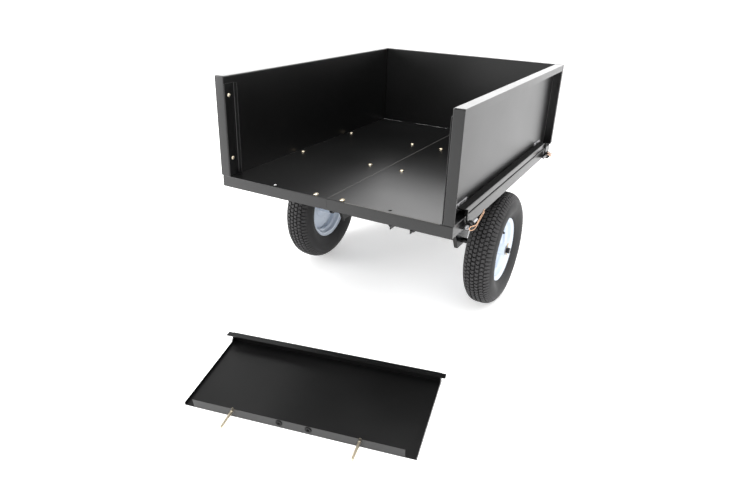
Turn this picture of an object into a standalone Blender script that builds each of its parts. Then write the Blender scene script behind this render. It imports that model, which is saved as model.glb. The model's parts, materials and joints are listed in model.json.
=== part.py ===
"""A garden tractor trailer: a tipping steel bed on two pneumatic wheels, with sides that fold down.

The trailer stands parked on its wheels and its hitch clevis, with the tailgate lifted out behind it.
Shapes are drawn in the trailer's own frame, in metres: the origin in the middle of the axle,
+X to the right seen from the rear, +Y forward, +Z up. One empty then carries the parked tilt.
"""

import math
from dataclasses import dataclass

import bmesh
import bpy
from mathutils import Matrix, Vector

# Clearances
GAP = 0.0003
RUNNING_GAP = 0.0005

# Bed floor
BED_WIDTH = 0.780
BED_LENGTH = 1.040
BED_REAR_BEHIND_AXLE = 0.526
FLOOR_ABOVE_AXLE = 0.266
PAN_SHEET = 0.002
PAN_FLANGE = 0.035
PAN_BEND = 0.0025
SEAM_FLANGE_FROM_REAR = 0.045
SEAM_FLANGE_FROM_FRONT = 0.006

# Walls
WALL_HEIGHT = 0.305
WALL_SHEET = 0.002
WALL_FLANGE = 0.033
WALL_LIP = 0.022
WALL_BEND = 0.003
WALL_ABOVE_FLOOR = 0.003
WALL_INSET = 0.030
FRONT_WALL_ABOVE_FLOOR = 0.004
FRONT_TAB_OUT = 0.238
FRONT_TAB_WIDTH = 0.066
FRONT_TAB_DROP = 0.030

# Tailgate guides inside the side walls
GUIDE_PLATE = 0.043
GUIDE_LEG = 0.014
GUIDE_SHEET = 0.002
GUIDE_SHORT_OF_WALL = 0.021

# Fold-down hinges of the side walls
HINGE_OUT_OF_BED = 0.014
HINGE_BELOW_FLOOR = 0.022
RAIL_SHEET = 0.002
RAIL_TOP_ABOVE_FLOOR = 0.021
RAIL_FOOT_ABOVE_FLOOR = 0.005
RAIL_LIP_ABOVE_FLOOR = 0.0015
RAIL_OFF_BED = 0.0013
WALL_LUG_FROM_END = 0.089
WALL_LUG_PLATE = 0.003
WALL_LUG_EYE = 0.011
WALL_LUG_ARM = 0.0052
BED_LUG_FROM_END = 0.080
BED_LUG_LENGTH = 0.021
BED_LUG_PLATE = 0.004
BED_LUG_EYE = 0.012
BED_LUG_BASE = 0.002
PIN_BORE = 0.010
PIN_DIAMETER = 0.0094
PIN_LENGTH = 0.072
PIN_COLLAR_DIAMETER = 0.014
PIN_COLLAR_LENGTH = 0.006
PIN_COLLAR_FROM_END = 0.070
PIN_TIP_CHAMFER = 0.0028
BAIL_WIRE = 0.0032
BAIL_OUT = 0.0168
BAIL_LEG_SPREAD = 0.004
BAIL_LENGTH = 0.084
BAIL_CROWN = 0.006
BAIL_EASE = 0.003
BAIL_NOSE = 0.011

# Floor bolts: half spacing and distance from the rear edge of each pair
BOLT_PAIRS = (
    (0.045, 0.013),
    (0.060, 0.365),
    (0.060, 0.700),
    (0.341, 0.369),
    (0.341, 0.711),
)
BOLT_SHANK = 0.008
BOLT_HOLE = 0.009
BOLT_HEAD = 0.016
BOLT_HEAD_HEIGHT = 0.0045
BOLT_NUT = 0.013
BOLT_NUT_HEIGHT = 0.0065
BOLT_END = 0.004
DROP_PIN_OUT = 0.197
DROP_PIN_FROM_REAR = 0.017
DROP_PIN_HOLE = 0.011

# Hangers that carry the bed on the axle
HANGER_SHEET = 0.003
SPLICE_HALF_WIDTH = 0.070
SPLICE_LENGTH = 0.032
CENTRE_HANGER_OUT = 0.050
CENTRE_HANGER_FLANGE = 0.028
HANGER_PAST_BOLTS = 0.035
CENTRE_HANGER_EYE = 0.016
OUTER_HANGER_OUT = 0.240
OUTER_HANGER_FLANGE = 0.125
OUTER_HANGER_STIFFENER = 0.012
OUTER_HANGER_FOOT = 0.045
OUTER_HANGER_DROP = 0.017

# Axle and wheels
AXLE_DIAMETER = 0.020
AXLE_BORE_GAP = 0.0005
AXLE_COLLAR_DIAMETER = 0.034
AXLE_COLLAR_LENGTH = 0.012
AXLE_PAST_WASHER = 0.010
TRACK = 0.720
TYRE_DIAMETER = 0.400
TYRE_WIDTH = 0.105
TYRE_BEAD_INSET = 0.0067
TYRE_BEAD_FLARE = 0.0037
TYRE_BEAD_BULGE = 0.0025
RIM_DIAMETER = 0.225
RIM_HALF_WIDTH = 0.0335
RIM_SHEET = 0.0025
RIM_CURL = 0.006
RIM_CURL_WIDTH = 0.0055
RIM_SEAT_WIDTH = 0.010
RIM_SEAT_TAPER = 0.001
BEAD_SEAT_RADIUS = 0.1015
RIM_WELL_RADIUS = 0.090
RIM_WELL_FROM_EDGE = 0.021
RIM_DISC_OUT = 0.001
RIM_DISC_FLARE = 0.002
RIM_DISC_CROWN = 0.006
RIM_DISC_CROWN_WIDTH = 0.014
RIM_DISC_SLOPE = 0.010
HUB_HALF_LENGTH = 0.042
HUB_DIAMETER = 0.038
HUB_CHAMFER = 0.0015
WASHER_DIAMETER = 0.034
WASHER_THICKNESS = 0.0025
COTTER_WIRE = 0.0028
COTTER_HOLE = 0.0036
COTTER_HALF_LENGTH = 0.018
COTTER_EYE = 0.0045
VALVE_LENGTH = 0.030
VALVE_DIAMETER = 0.0075
VALVE_LEAN = 48.0
VALVE_TURN = 8.0

# The tyre's side, from the rim's edge to the crown: share of the way up, share of the half width
TYRE_SIDE = (
    (0.14, 0.77),
    (0.29, 0.93),
    (0.46, 1.00),
    (0.65, 0.96),
    (0.79, 0.85),
    (0.90, 0.70),
    (0.95, 0.53),
    (1.00, 0.20),
)

# Drawbar and hitch
DRAWBAR_HALF_WIDTH = 0.042
DRAWBAR_SHEET = 0.003
DRAWBAR_TOP = 0.024
DRAWBAR_BOTTOM = -0.019
DRAWBAR_REAR = -0.020
DRAWBAR_WEB_REAR = 0.034
DRAWBAR_FRONT = 1.075
CLEVIS_FRONT = 1.170
CLEVIS_REAR = 1.010
CLEVIS_UNDERSIDE = -0.028
CLEVIS_STRAP = 0.006
CLEVIS_WIDTH = 0.050
HITCH_HOLE_FROM_FRONT = 0.025
HITCH_PIN_DIAMETER = 0.013
HITCH_PIN_HOLE = 0.0145
HITCH_PIN_COLLAR = 0.024
HITCH_PIN_COLLAR_HEIGHT = 0.006
HITCH_PIN_NECK = 0.035
HITCH_PIN_HANDLE = 0.055

# Dump latch
STAND_HALF_WIDTH = 0.030
STAND_SHEET = 0.003
STAND_BEHIND_BED_FRONT = 0.044
STAND_TOP_LENGTH = 0.060
STAND_FOOT_LENGTH = 0.160
STAND_EAR = 0.022
LEVER_AHEAD_OF_BED = 0.071
LEVER_PIVOT_UP = 0.120
LEVER_LENGTH = 0.238
LEVER_KNOB = 0.018
LEVER_KNOB_AHEAD = 0.041
LEVER_WAIST = 0.022
LEVER_SHOULDER = 0.034
LEVER_SHOULDER_RISE = 0.030
LEVER_NECK = 0.022
LEVER_PLATE = 0.006
LEVER_BOSS = 0.024
LEVER_BORE = 0.0108
LEVER_OPEN = 20.0
PIVOT_BOLT_DIAMETER = 0.010
PIVOT_BOLT_HEAD = 0.017
PIVOT_BOLT_HEAD_HEIGHT = 0.0065
KEEPER_HALF_WIDTH = 0.025
KEEPER_SHEET = 0.003
KEEPER_TONGUE = 0.028
KEEPER_ABOVE_FLANGE = 0.005
KEEPER_UPRIGHT = 0.026
HOOK_THICKNESS = 0.011
HOOK_LENGTH = 0.018
HOOK_CHAMFER = 0.003
HOOK_ROOM = 0.003
HOOK_THROAT = 0.016

# Tailgate
TAILGATE_WIDTH = 0.716
TAILGATE_HEIGHT = 0.305
TAILGATE_SHEET = 0.002
TAILGATE_TOP_FLANGE = 0.035
TAILGATE_LIP = 0.022
TAILGATE_LIP_OVERHANG = 0.015
TAILGATE_BOTTOM_FLANGE = 0.032
TAILGATE_BOTTOM_CUT = 0.032
TAILGATE_RETURN = 0.010
TAILGATE_GUSSET = 0.028
TAILGATE_BEHIND_AXLE = 0.863
TAILGATE_ASIDE = 0.084
TAILGATE_TURN = 10.8
DROP_PIN_DIAMETER = 0.009
DROP_PIN_LENGTH = 0.065
DROP_PIN_HEAD = 0.015
DROP_PIN_HEAD_HEIGHT = 0.007

# Facets
WHEEL_STEPS = 36
HUB_STEPS = 20
ROUND_STEPS = 14
HOLE_STEPS = 10

# Places that follow from the sizes
REAR_Y = -BED_REAR_BEHIND_AXLE
FRONT_Y = REAR_Y + BED_LENGTH
FLOOR_Z = FLOOR_ABOVE_AXLE
PAN_UNDERSIDE = FLOOR_Z - PAN_SHEET
HANGER_TOP = PAN_UNDERSIDE - GAP
HALF_WIDTH = BED_WIDTH / 2
WALL_X = HALF_WIDTH - WALL_INSET
WALL_TOP = FLOOR_Z + WALL_HEIGHT
HINGE_X = HALF_WIDTH + HINGE_OUT_OF_BED
HINGE_Z = FLOOR_Z - HINGE_BELOW_FLOOR
WHEEL_X = TRACK / 2
TYRE_RADIUS = TYRE_DIAMETER / 2
HITCH_Y = CLEVIS_FRONT - HITCH_HOLE_FROM_FRONT
CLEVIS_TOP = DRAWBAR_TOP - DRAWBAR_SHEET - GAP
STAND_REAR = FRONT_Y - STAND_BEHIND_BED_FRONT
LEVER_PIVOT_FORWARD = FRONT_Y + LEVER_AHEAD_OF_BED
STAND_TOP = FLOOR_Z - PAN_FLANGE - GAP
STAND_BOTTOM = DRAWBAR_TOP + GAP
KEEPER_UNDERSIDE = FLOOR_Z - PAN_FLANGE + KEEPER_ABOVE_FLANGE
PARKED_TILT = math.asin(TYRE_RADIUS / math.hypot(CLEVIS_FRONT, CLEVIS_UNDERSIDE)) + math.atan2(
    CLEVIS_UNDERSIDE, CLEVIS_FRONT
)
TAILGATE_YAW = math.radians(TAILGATE_TURN)
FOOTPRINT_FRONT = CLEVIS_FRONT * math.cos(PARKED_TILT) + CLEVIS_TOP * math.sin(PARKED_TILT)
FOOTPRINT_REAR = (
    TAILGATE_BEHIND_AXLE
    + DROP_PIN_OUT * math.sin(TAILGATE_YAW)
    + DROP_PIN_LENGTH * math.cos(TAILGATE_YAW)
)
AXLE_Y = (FOOTPRINT_REAR - FOOTPRINT_FRONT) / 2

MIRROR_X = Matrix.Diagonal((-1, 1, 1, 1))


@dataclass
class Body:
    """An empty on a moving piece's axis, and that axis's place in the trailer's frame."""

    empty: bpy.types.Object
    origin: Vector


def clear_scene():
    for obj in list(bpy.data.objects):
        bpy.data.objects.remove(obj)


def new_collection(name):
    collection = bpy.data.collections.new(name)
    bpy.context.scene.collection.children.link(collection)
    return collection


def new_material(name, colour, roughness, metallic=0.0):
    material = bpy.data.materials.new(name)
    material.use_nodes = True
    shader = material.node_tree.nodes["Principled BSDF"]
    shader.inputs["Base Color"].default_value = (*colour, 1)
    shader.inputs["Roughness"].default_value = roughness
    shader.inputs["Metallic"].default_value = metallic
    return material


clear_scene()
PARTS = new_collection("garden_tractor_trailer")
CUTTERS = new_collection("cutters")
BLACK_COAT = new_material("black powder coat", (0.012, 0.012, 0.013), 0.42)
GOLD_ZINC = new_material("yellow zinc", (0.55, 0.38, 0.16), 0.35, 1.0)
BRIGHT_ZINC = new_material("bright zinc", (0.55, 0.56, 0.58), 0.35, 1.0)
WHITE_PAINT = new_material("white wheel paint", (0.80, 0.83, 0.88), 0.35)
TYRE_RUBBER = new_material("tyre rubber", (0.028, 0.028, 0.030), 0.75)
STEM_RUBBER = new_material("valve rubber", (0.015, 0.015, 0.016), 0.60)
BRASS = new_material("brass cotter", (0.60, 0.42, 0.18), 0.35, 1.0)


def mesh_from(bm):
    bmesh.ops.recalc_face_normals(bm, faces=bm.faces)
    mesh = bpy.data.meshes.new("shape")
    bm.to_mesh(mesh)
    bm.free()
    return mesh


def moved(mesh, x=0.0, y=0.0, z=0.0):
    mesh.transform(Matrix.Translation((x, y, z)))
    return mesh


def turned_by(mesh, degrees, axis):
    mesh.transform(Matrix.Rotation(math.radians(degrees), 4, axis))
    return mesh


def mirrored(mesh):
    """A copy for the other side of the trailer."""
    copy = mesh.copy()
    copy.transform(MIRROR_X)
    copy.flip_normals()
    return copy


def evaluated(obj):
    """The object's mesh with its modifiers or its curve's bevel made real; the object is removed."""
    graph = bpy.context.evaluated_depsgraph_get()
    mesh = bpy.data.meshes.new_from_object(obj.evaluated_get(graph))
    bpy.data.objects.remove(obj)
    return mesh


def bench_object(data):
    obj = bpy.data.objects.new("bench", data)
    CUTTERS.objects.link(obj)
    obj.hide_render = True
    obj.display_type = "WIRE"
    return obj


def combined(mesh, others, operation):
    """Joins the other meshes to this one, or cuts them out of it, one Boolean each."""
    obj = bench_object(mesh)
    tools = [bench_object(other) for other in others]
    for tool in tools:
        modifier = obj.modifiers.new("Boolean", "BOOLEAN")
        modifier.operation = operation
        modifier.solver = "EXACT"
        modifier.object = tool
    result = evaluated(obj)
    for tool in tools:
        bpy.data.objects.remove(tool)
    return result


def joined(mesh, *others):
    return combined(mesh, others, "UNION")


def cut(mesh, *others):
    return combined(mesh, others, "DIFFERENCE")


def solidified(mesh, thickness):
    """Sheet metal of this thickness, half on each side of the surface."""
    obj = bench_object(mesh)
    modifier = obj.modifiers.new("Solidify", "SOLIDIFY")
    modifier.thickness = thickness
    modifier.offset = 0
    modifier.use_even_offset = True
    return evaluated(obj)


def box(x_range, y_range, z_range):
    bm = bmesh.new()
    bmesh.ops.create_cube(bm, size=1)
    ranges = (x_range, y_range, z_range)
    bmesh.ops.scale(bm, vec=[high - low for low, high in ranges], verts=bm.verts)
    bmesh.ops.translate(bm, vec=[(low + high) / 2 for low, high in ranges], verts=bm.verts)
    return mesh_from(bm)


def cylinder(diameter, length, centre, axis="Z", steps=ROUND_STEPS):
    bm = bmesh.new()
    bmesh.ops.create_cone(
        bm, cap_ends=True, segments=steps, radius1=diameter / 2, radius2=diameter / 2, depth=length
    )
    mesh = mesh_from(bm)
    if axis == "X":
        turned_by(mesh, 90, "Y")
    elif axis == "Y":
        turned_by(mesh, 90, "X")
    return moved(mesh, *centre)


def turned(profile, steps=ROUND_STEPS, axis="Z"):
    """A lathe shape about an axis from its (radius, height) profile, which runs down its outer side."""
    bm = bmesh.new()
    points = [bm.verts.new((radius, 0, height)) for radius, height in profile]
    for start, end in zip(points, points[1:]):
        bm.edges.new((start, end))
    if profile[0][0] > 0:
        bm.edges.new((points[-1], points[0]))
    mesh = bpy.data.meshes.new("profile")
    bm.to_mesh(mesh)
    bm.free()
    obj = bench_object(mesh)
    screw = obj.modifiers.new("Screw", "SCREW")
    screw.steps = steps
    screw.render_steps = steps
    screw.use_merge_vertices = True
    screw.merge_threshold = 0.00001
    screw.use_normal_calculate = True
    result = evaluated(obj)
    bm = bmesh.new()
    bm.from_mesh(result)
    result = mesh_from(bm)
    if axis == "X":
        turned_by(result, 90, "Y")
    elif axis == "Y":
        turned_by(result, -90, "X")
    return result


def plate(outline, thickness, plane="XY"):
    """A flat plate from its outline, half its thickness on each side of the drawing plane."""
    curve = bpy.data.curves.new("outline", "CURVE")
    curve.dimensions = "2D"
    curve.fill_mode = "BOTH"
    curve.extrude = thickness / 2
    spline = curve.splines.new("POLY")
    spline.points.add(len(outline) - 1)
    for point, (u, v) in zip(spline.points, outline):
        point.co = (u, v, 0, 1)
    spline.use_cyclic_u = True
    mesh = welded(evaluated(bench_object(curve)))
    if plane == "XZ":
        turned_by(mesh, 90, "X")
    elif plane == "YZ":
        turned_by(mesh, 90, "X")
        turned_by(mesh, 90, "Z")
    return mesh


def welded(mesh):
    bm = bmesh.new()
    bm.from_mesh(mesh)
    bmesh.ops.remove_doubles(bm, verts=bm.verts, dist=0.000002)
    return mesh_from(bm)


def wire(points, diameter, resolution=2):
    """A bent wire or rod through these points."""
    curve = bpy.data.curves.new("wire", "CURVE")
    curve.dimensions = "3D"
    curve.bevel_depth = diameter / 2
    curve.bevel_resolution = resolution
    curve.use_fill_caps = True
    spline = curve.splines.new("POLY")
    spline.points.add(len(points) - 1)
    for point, place in zip(spline.points, points):
        point.co = (*place, 1)
    return welded(evaluated(bench_object(curve)))


def arc(centre, radius, start, end, steps):
    """Points along an arc in a plane, angles in degrees."""
    angles = [math.radians(start + (end - start) * i / steps) for i in range(steps + 1)]
    return [
        (centre[0] + radius * math.cos(angle), centre[1] + radius * math.sin(angle))
        for angle in angles
    ]


def rounded(points, radius, steps=2):
    """The open polyline with each corner eased by this bend radius."""
    result = [points[0]]
    for before, corner, after in zip(points, points[1:], points[2:]):
        corner = Vector(corner)
        back = (Vector(before) - corner).normalized()
        ahead = (Vector(after) - corner).normalized()
        reach = radius / math.tan(back.angle(ahead) / 2)
        start = corner + back * reach
        end = corner + ahead * reach
        for i in range(steps + 1):
            share = i / steps
            eased = start.lerp(corner, share).lerp(corner.lerp(end, share), share)
            result.append(tuple(eased))
    return result + [points[-1]]


def folded(section, length_range, thickness, bend, along="Y"):
    """A folded sheet: its mid-line section, (across, up), carried along Y or X."""
    low, high = length_range
    bm = bmesh.new()
    line = rounded(section, bend)
    points = [bm.verts.new((across, low, up)) for across, up in line]
    edges = [bm.edges.new(pair) for pair in zip(points, points[1:])]
    made = bmesh.ops.extrude_edge_only(bm, edges=edges)["geom"]
    swept = [item for item in made if isinstance(item, bmesh.types.BMVert)]
    bmesh.ops.translate(bm, vec=(0, high - low, 0), verts=swept)
    mesh = solidified(mesh_from(bm), thickness)
    if along == "X":
        mesh.transform(Matrix(((0, 1, 0, 0), (1, 0, 0, 0), (0, 0, 1, 0), (0, 0, 0, 1))))
        mesh.flip_normals()
    return mesh


def tray(width, length, depth, thickness, bend, flanged):
    """A flat panel in XY about the origin, its flanges turned down along the named sides.

    The sizes are those of the sheet's mid-surface. Neighbouring flanges meet in closed corners.
    """
    bm = bmesh.new()
    bmesh.ops.create_grid(bm, x_segments=1, y_segments=1, size=0.5)
    bmesh.ops.scale(bm, vec=(width, length, 1), verts=bm.verts)
    sides = {"right": (1, 0), "left": (-1, 0), "far": (0, 1), "near": (0, -1)}
    for edge in list(bm.edges):
        middle = (edge.verts[0].co + edge.verts[1].co) / 2
        side = max(sides, key=lambda name: middle.x * sides[name][0] + middle.y * sides[name][1])
        if side not in flanged:
            continue
        made = bmesh.ops.extrude_edge_only(bm, edges=[edge])["geom"]
        down = [item for item in made if isinstance(item, bmesh.types.BMVert)]
        bmesh.ops.translate(bm, vec=(0, 0, -depth), verts=down)
    bmesh.ops.remove_doubles(bm, verts=bm.verts, dist=0.00001)
    folds = [edge for edge in bm.edges if len(edge.link_faces) == 2]
    bmesh.ops.bevel(bm, geom=folds, offset=bend, segments=2, profile=0.5, affect="EDGES")
    return solidified(mesh_from(bm), thickness)


def add_part(name, mesh, material, body):
    """A named node of the trailer: its mesh, drawn in the trailer's frame, hung on its body."""
    mesh = moved(mesh.copy(), *(-body.origin))
    mesh.name = name
    mesh.materials.clear()
    mesh.materials.append(material)
    mesh.shade_smooth()
    mesh.set_sharp_from_angle(angle=math.radians(30))
    obj = bpy.data.objects.new(name, mesh)
    obj.parent = body.empty
    PARTS.objects.link(obj)
    return obj


def add_body(name, origin, parent=None):
    """An empty on a moving piece's axis, under the body that carries it."""
    empty = bpy.data.objects.new(name, None)
    origin = Vector(origin)
    empty.location = origin - (parent.origin if parent else Vector())
    empty.parent = parent.empty if parent else None
    PARTS.objects.link(empty)
    return Body(empty, origin)


def floor_pan():
    """The right half of the floor: a pan folded down on its three outer sides, with a seam flange."""
    half = PAN_SHEET / 2
    width = HALF_WIDTH - GAP / 2 - PAN_SHEET / 2
    length = BED_LENGTH - PAN_SHEET
    pan = tray(width, length, PAN_FLANGE - half, PAN_SHEET, PAN_BEND, ("right", "near", "far"))
    moved(pan, GAP / 2 + width / 2, (REAR_Y + FRONT_Y) / 2, FLOOR_Z - half)
    seam = box(
        (GAP / 2, GAP / 2 + PAN_SHEET),
        (REAR_Y + SEAM_FLANGE_FROM_REAR, FRONT_Y - SEAM_FLANGE_FROM_FRONT),
        (FLOOR_Z - PAN_FLANGE, FLOOR_Z - half),
    )
    trim = box(
        (-BED_WIDTH, GAP / 2),
        (REAR_Y - PAN_FLANGE, FRONT_Y + PAN_FLANGE),
        (FLOOR_Z - 2 * PAN_FLANGE, FLOOR_Z + PAN_FLANGE),
    )
    holes = [
        cylinder(BOLT_HOLE, 6 * PAN_SHEET, (out, REAR_Y + ahead, FLOOR_Z), steps=HOLE_STEPS)
        for out, ahead in BOLT_PAIRS
    ]
    drop_place = (DROP_PIN_OUT, REAR_Y + DROP_PIN_FROM_REAR, FLOOR_Z)
    holes.append(cylinder(DROP_PIN_HOLE, 6 * PAN_SHEET, drop_place, steps=HOLE_STEPS))
    return cut(joined(pan, seam), trim, *holes)


def floor_bolt():
    """A dome-head bolt with its nut, standing at the origin with its head's underside at z = 0."""
    reach = PAN_SHEET + HANGER_SHEET + 3 * GAP
    nut_low = -reach - BOLT_NUT_HEIGHT
    dome = arc((0, 0), 1, 90, 0, 3)
    head = [(BOLT_HEAD / 2 * across, BOLT_HEAD_HEIGHT * up) for across, up in dome]
    head[0] = (0, BOLT_HEAD_HEIGHT)
    shank = [
        (BOLT_SHANK / 2, 0),
        (BOLT_SHANK / 2, nut_low - BOLT_END),
        (0, nut_low - BOLT_END),
    ]
    nut = cylinder(BOLT_NUT * 1.1, BOLT_NUT_HEIGHT, (0, 0, nut_low + BOLT_NUT_HEIGHT / 2), steps=6)
    return joined(turned(head + shank, steps=HOLE_STEPS), nut)


def add_floor(bed):
    pan = floor_pan()
    add_part("right_floor_pan", pan, BLACK_COAT, bed)
    add_part("left_floor_pan", mirrored(pan), BLACK_COAT, bed)
    bolt = floor_bolt()
    number = 0
    for out, ahead in BOLT_PAIRS:
        for side in (-1, 1):
            number += 1
            place = (side * out, REAR_Y + ahead, FLOOR_Z + GAP)
            add_part(f"floor_bolt_{number:02d}", moved(bolt.copy(), *place), GOLD_ZINC, bed)
    rear_out, rear_ahead = BOLT_PAIRS[0]
    splice = box(
        (-SPLICE_HALF_WIDTH, SPLICE_HALF_WIDTH),
        (REAR_Y + PAN_SHEET + PAN_BEND, REAR_Y + PAN_SHEET + PAN_BEND + SPLICE_LENGTH),
        (HANGER_TOP - HANGER_SHEET, HANGER_TOP),
    )
    holes = [hanger_hole(side * rear_out, rear_ahead) for side in (-1, 1)]
    add_part("rear_splice_plate", cut(splice, *holes), BLACK_COAT, bed)


def hanger_hole(out, ahead):
    return cylinder(BOLT_HOLE, 6 * HANGER_SHEET, (out, REAR_Y + ahead, HANGER_TOP), steps=HOLE_STEPS)


def centre_hanger():
    """The right centre hanger: a tapered plate round the axle, bolted up through its top flange."""
    pairs = BOLT_PAIRS[1:3]
    rear = REAR_Y + pairs[0][1] - HANGER_PAST_BOLTS
    front = REAR_Y + pairs[1][1] + HANGER_PAST_BOLTS
    top = HANGER_TOP - HANGER_SHEET
    eye = CENTRE_HANGER_EYE
    outline = [(rear, top), *arc((0, 0), eye, 215, 325, 8), (front, top)]
    outline += [(front, HANGER_TOP), (rear, HANGER_TOP)]
    web = moved(plate(outline, HANGER_SHEET, "YZ"), x=CENTRE_HANGER_OUT)
    flange = box(
        (CENTRE_HANGER_OUT - HANGER_SHEET / 2, CENTRE_HANGER_OUT + CENTRE_HANGER_FLANGE),
        (rear, front),
        (top, HANGER_TOP),
    )
    bore = axle_bore(CENTRE_HANGER_OUT)
    holes = [hanger_hole(out, ahead) for out, ahead in pairs]
    return cut(joined(web, flange), bore, *holes)


def axle_bore(x):
    return cylinder(AXLE_DIAMETER + 2 * AXLE_BORE_GAP, 8 * HANGER_SHEET, (x, 0, 0), "X")


def outer_hanger():
    """The right outer hanger: a tapered web, its edges stiffened by flanges turned inwards."""
    pairs = BOLT_PAIRS[3:]
    rear = REAR_Y + pairs[0][1] - HANGER_PAST_BOLTS
    front = REAR_Y + pairs[1][1] + HANGER_PAST_BOLTS
    foot = OUTER_HANGER_FOOT
    low = -OUTER_HANGER_DROP
    inner = OUTER_HANGER_OUT - HANGER_SHEET / 2
    web_outline = [(-foot, low), (foot, low), (front, HANGER_TOP), (rear, HANGER_TOP)]
    web = moved(plate(web_outline, HANGER_SHEET, "YZ"), x=OUTER_HANGER_OUT)
    stiffeners = []
    for end, corner in ((-1, rear), (1, front)):
        slope = math.hypot(corner - end * foot, HANGER_TOP - low) / (HANGER_TOP - low)
        inward = -end * HANGER_SHEET * slope
        strip = [
            (end * foot, low),
            (corner, HANGER_TOP),
            (corner + inward, HANGER_TOP),
            (end * foot + inward, low),
        ]
        middle = inner + HANGER_SHEET / 2 - OUTER_HANGER_STIFFENER / 2
        stiffeners.append(moved(plate(strip, OUTER_HANGER_STIFFENER, "YZ"), x=middle))
    flange = box(
        (inner, inner + OUTER_HANGER_FLANGE),
        (rear, front),
        (HANGER_TOP - HANGER_SHEET, HANGER_TOP),
    )
    holes = [hanger_hole(out, ahead) for out, ahead in pairs]
    return cut(joined(web, flange, *stiffeners), axle_bore(OUTER_HANGER_OUT), *holes)


def add_hangers(bed):
    for name, mesh in (("centre_bracket", centre_hanger()), ("outer_bracket", outer_hanger())):
        add_part(f"right_{name}", mesh, BLACK_COAT, bed)
        add_part(f"left_{name}", mirrored(mesh), BLACK_COAT, bed)


def side_wall():
    """The right side wall: a pressed panel, flanged outwards along its top and both ends."""
    half = WALL_SHEET / 2
    low = FLOOR_Z + WALL_ABOVE_FLOOR
    height = WALL_TOP - low - half
    length = BED_LENGTH - WALL_SHEET - GAP
    flanged = ("far", "left", "right")
    panel = tray(length, height, WALL_FLANGE - half, WALL_SHEET, WALL_BEND, flanged)
    turned_by(panel, 90, "X")
    turned_by(panel, -90, "Z")
    middle = (REAR_Y + FRONT_Y - GAP) / 2
    moved(panel, WALL_X + half, middle, low + height / 2)
    outer = WALL_X + WALL_FLANGE
    lip = box(
        (outer - WALL_SHEET, outer - half / 4),
        (REAR_Y + WALL_BEND, FRONT_Y - GAP - WALL_BEND),
        (WALL_TOP - WALL_LIP, WALL_TOP - half),
    )
    return joined(panel, lip)


def hinge_rail():
    """The right wall's rail: a channel along its outer foot, ended by a lug on the hinge's axis."""
    start = REAR_Y + WALL_LUG_FROM_END
    end = FRONT_Y - WALL_LUG_FROM_END
    half = RAIL_SHEET / 2
    wall_side = WALL_X + WALL_SHEET + GAP + half
    lip_x = HALF_WIDTH + RAIL_OFF_BED + half
    top = FLOOR_Z + RAIL_TOP_ABOVE_FLOOR
    section = [
        (wall_side, FLOOR_Z + RAIL_FOOT_ABOVE_FLOOR),
        (wall_side, top),
        (lip_x, top),
        (lip_x, FLOOR_Z + RAIL_LIP_ABOVE_FLOOR),
    ]
    rail = folded(section, (start, end), RAIL_SHEET, RAIL_SHEET)
    arm_back = lip_x - half - HINGE_X
    arm_face = arm_back + WALL_LUG_ARM
    arm_foot = math.degrees(math.acos(arm_face / WALL_LUG_EYE))
    lug_outline = [
        (arm_back, 0),
        *arc((0, 0), WALL_LUG_EYE, 180, 360 + arm_foot, 10),
        (arm_face, top - HINGE_Z),
        (arm_back, top - HINGE_Z),
    ]
    lug = moved(plate(lug_outline, WALL_LUG_PLATE, "XZ"), HINGE_X, 0, HINGE_Z)
    rear_lug = moved(lug.copy(), y=start + WALL_LUG_PLATE / 2)
    front_lug = moved(lug, y=end - WALL_LUG_PLATE / 2)
    bore = cylinder(PIN_BORE, BED_LENGTH, (HINGE_X, (start + end) / 2, HINGE_Z), "Y")
    return cut(joined(rail, rear_lug, front_lug), bore)


def tailgate_guide():
    """The right guide: an angle inside the wall's rear end, for the tailgate to stand against."""
    half = GUIDE_SHEET / 2
    mid_x = WALL_X - GAP - half
    leg_y = REAR_Y + GUIDE_PLATE - half
    bm = bmesh.new()
    section = [(mid_x, REAR_Y), (mid_x, leg_y), (mid_x - GUIDE_LEG + half, leg_y)]
    points = [bm.verts.new((x, y, FLOOR_Z + WALL_ABOVE_FLOOR)) for x, y in rounded(section, GUIDE_SHEET)]
    edges = [bm.edges.new(pair) for pair in zip(points, points[1:])]
    made = bmesh.ops.extrude_edge_only(bm, edges=edges)["geom"]
    swept = [item for item in made if isinstance(item, bmesh.types.BMVert)]
    rise = WALL_HEIGHT - WALL_ABOVE_FLOOR - GUIDE_SHORT_OF_WALL
    bmesh.ops.translate(bm, vec=(0, 0, rise), verts=swept)
    return solidified(mesh_from(bm), GUIDE_SHEET)


def add_side_walls(bodies):
    pieces = (
        ("side_wall", side_wall()),
        ("hinge_rail", hinge_rail()),
        ("tailgate_guide", tailgate_guide()),
    )
    for name, mesh in pieces:
        add_part(f"right_{name}", mesh, BLACK_COAT, bodies["right"])
        add_part(f"left_{name}", mirrored(mesh), BLACK_COAT, bodies["left"])


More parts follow.
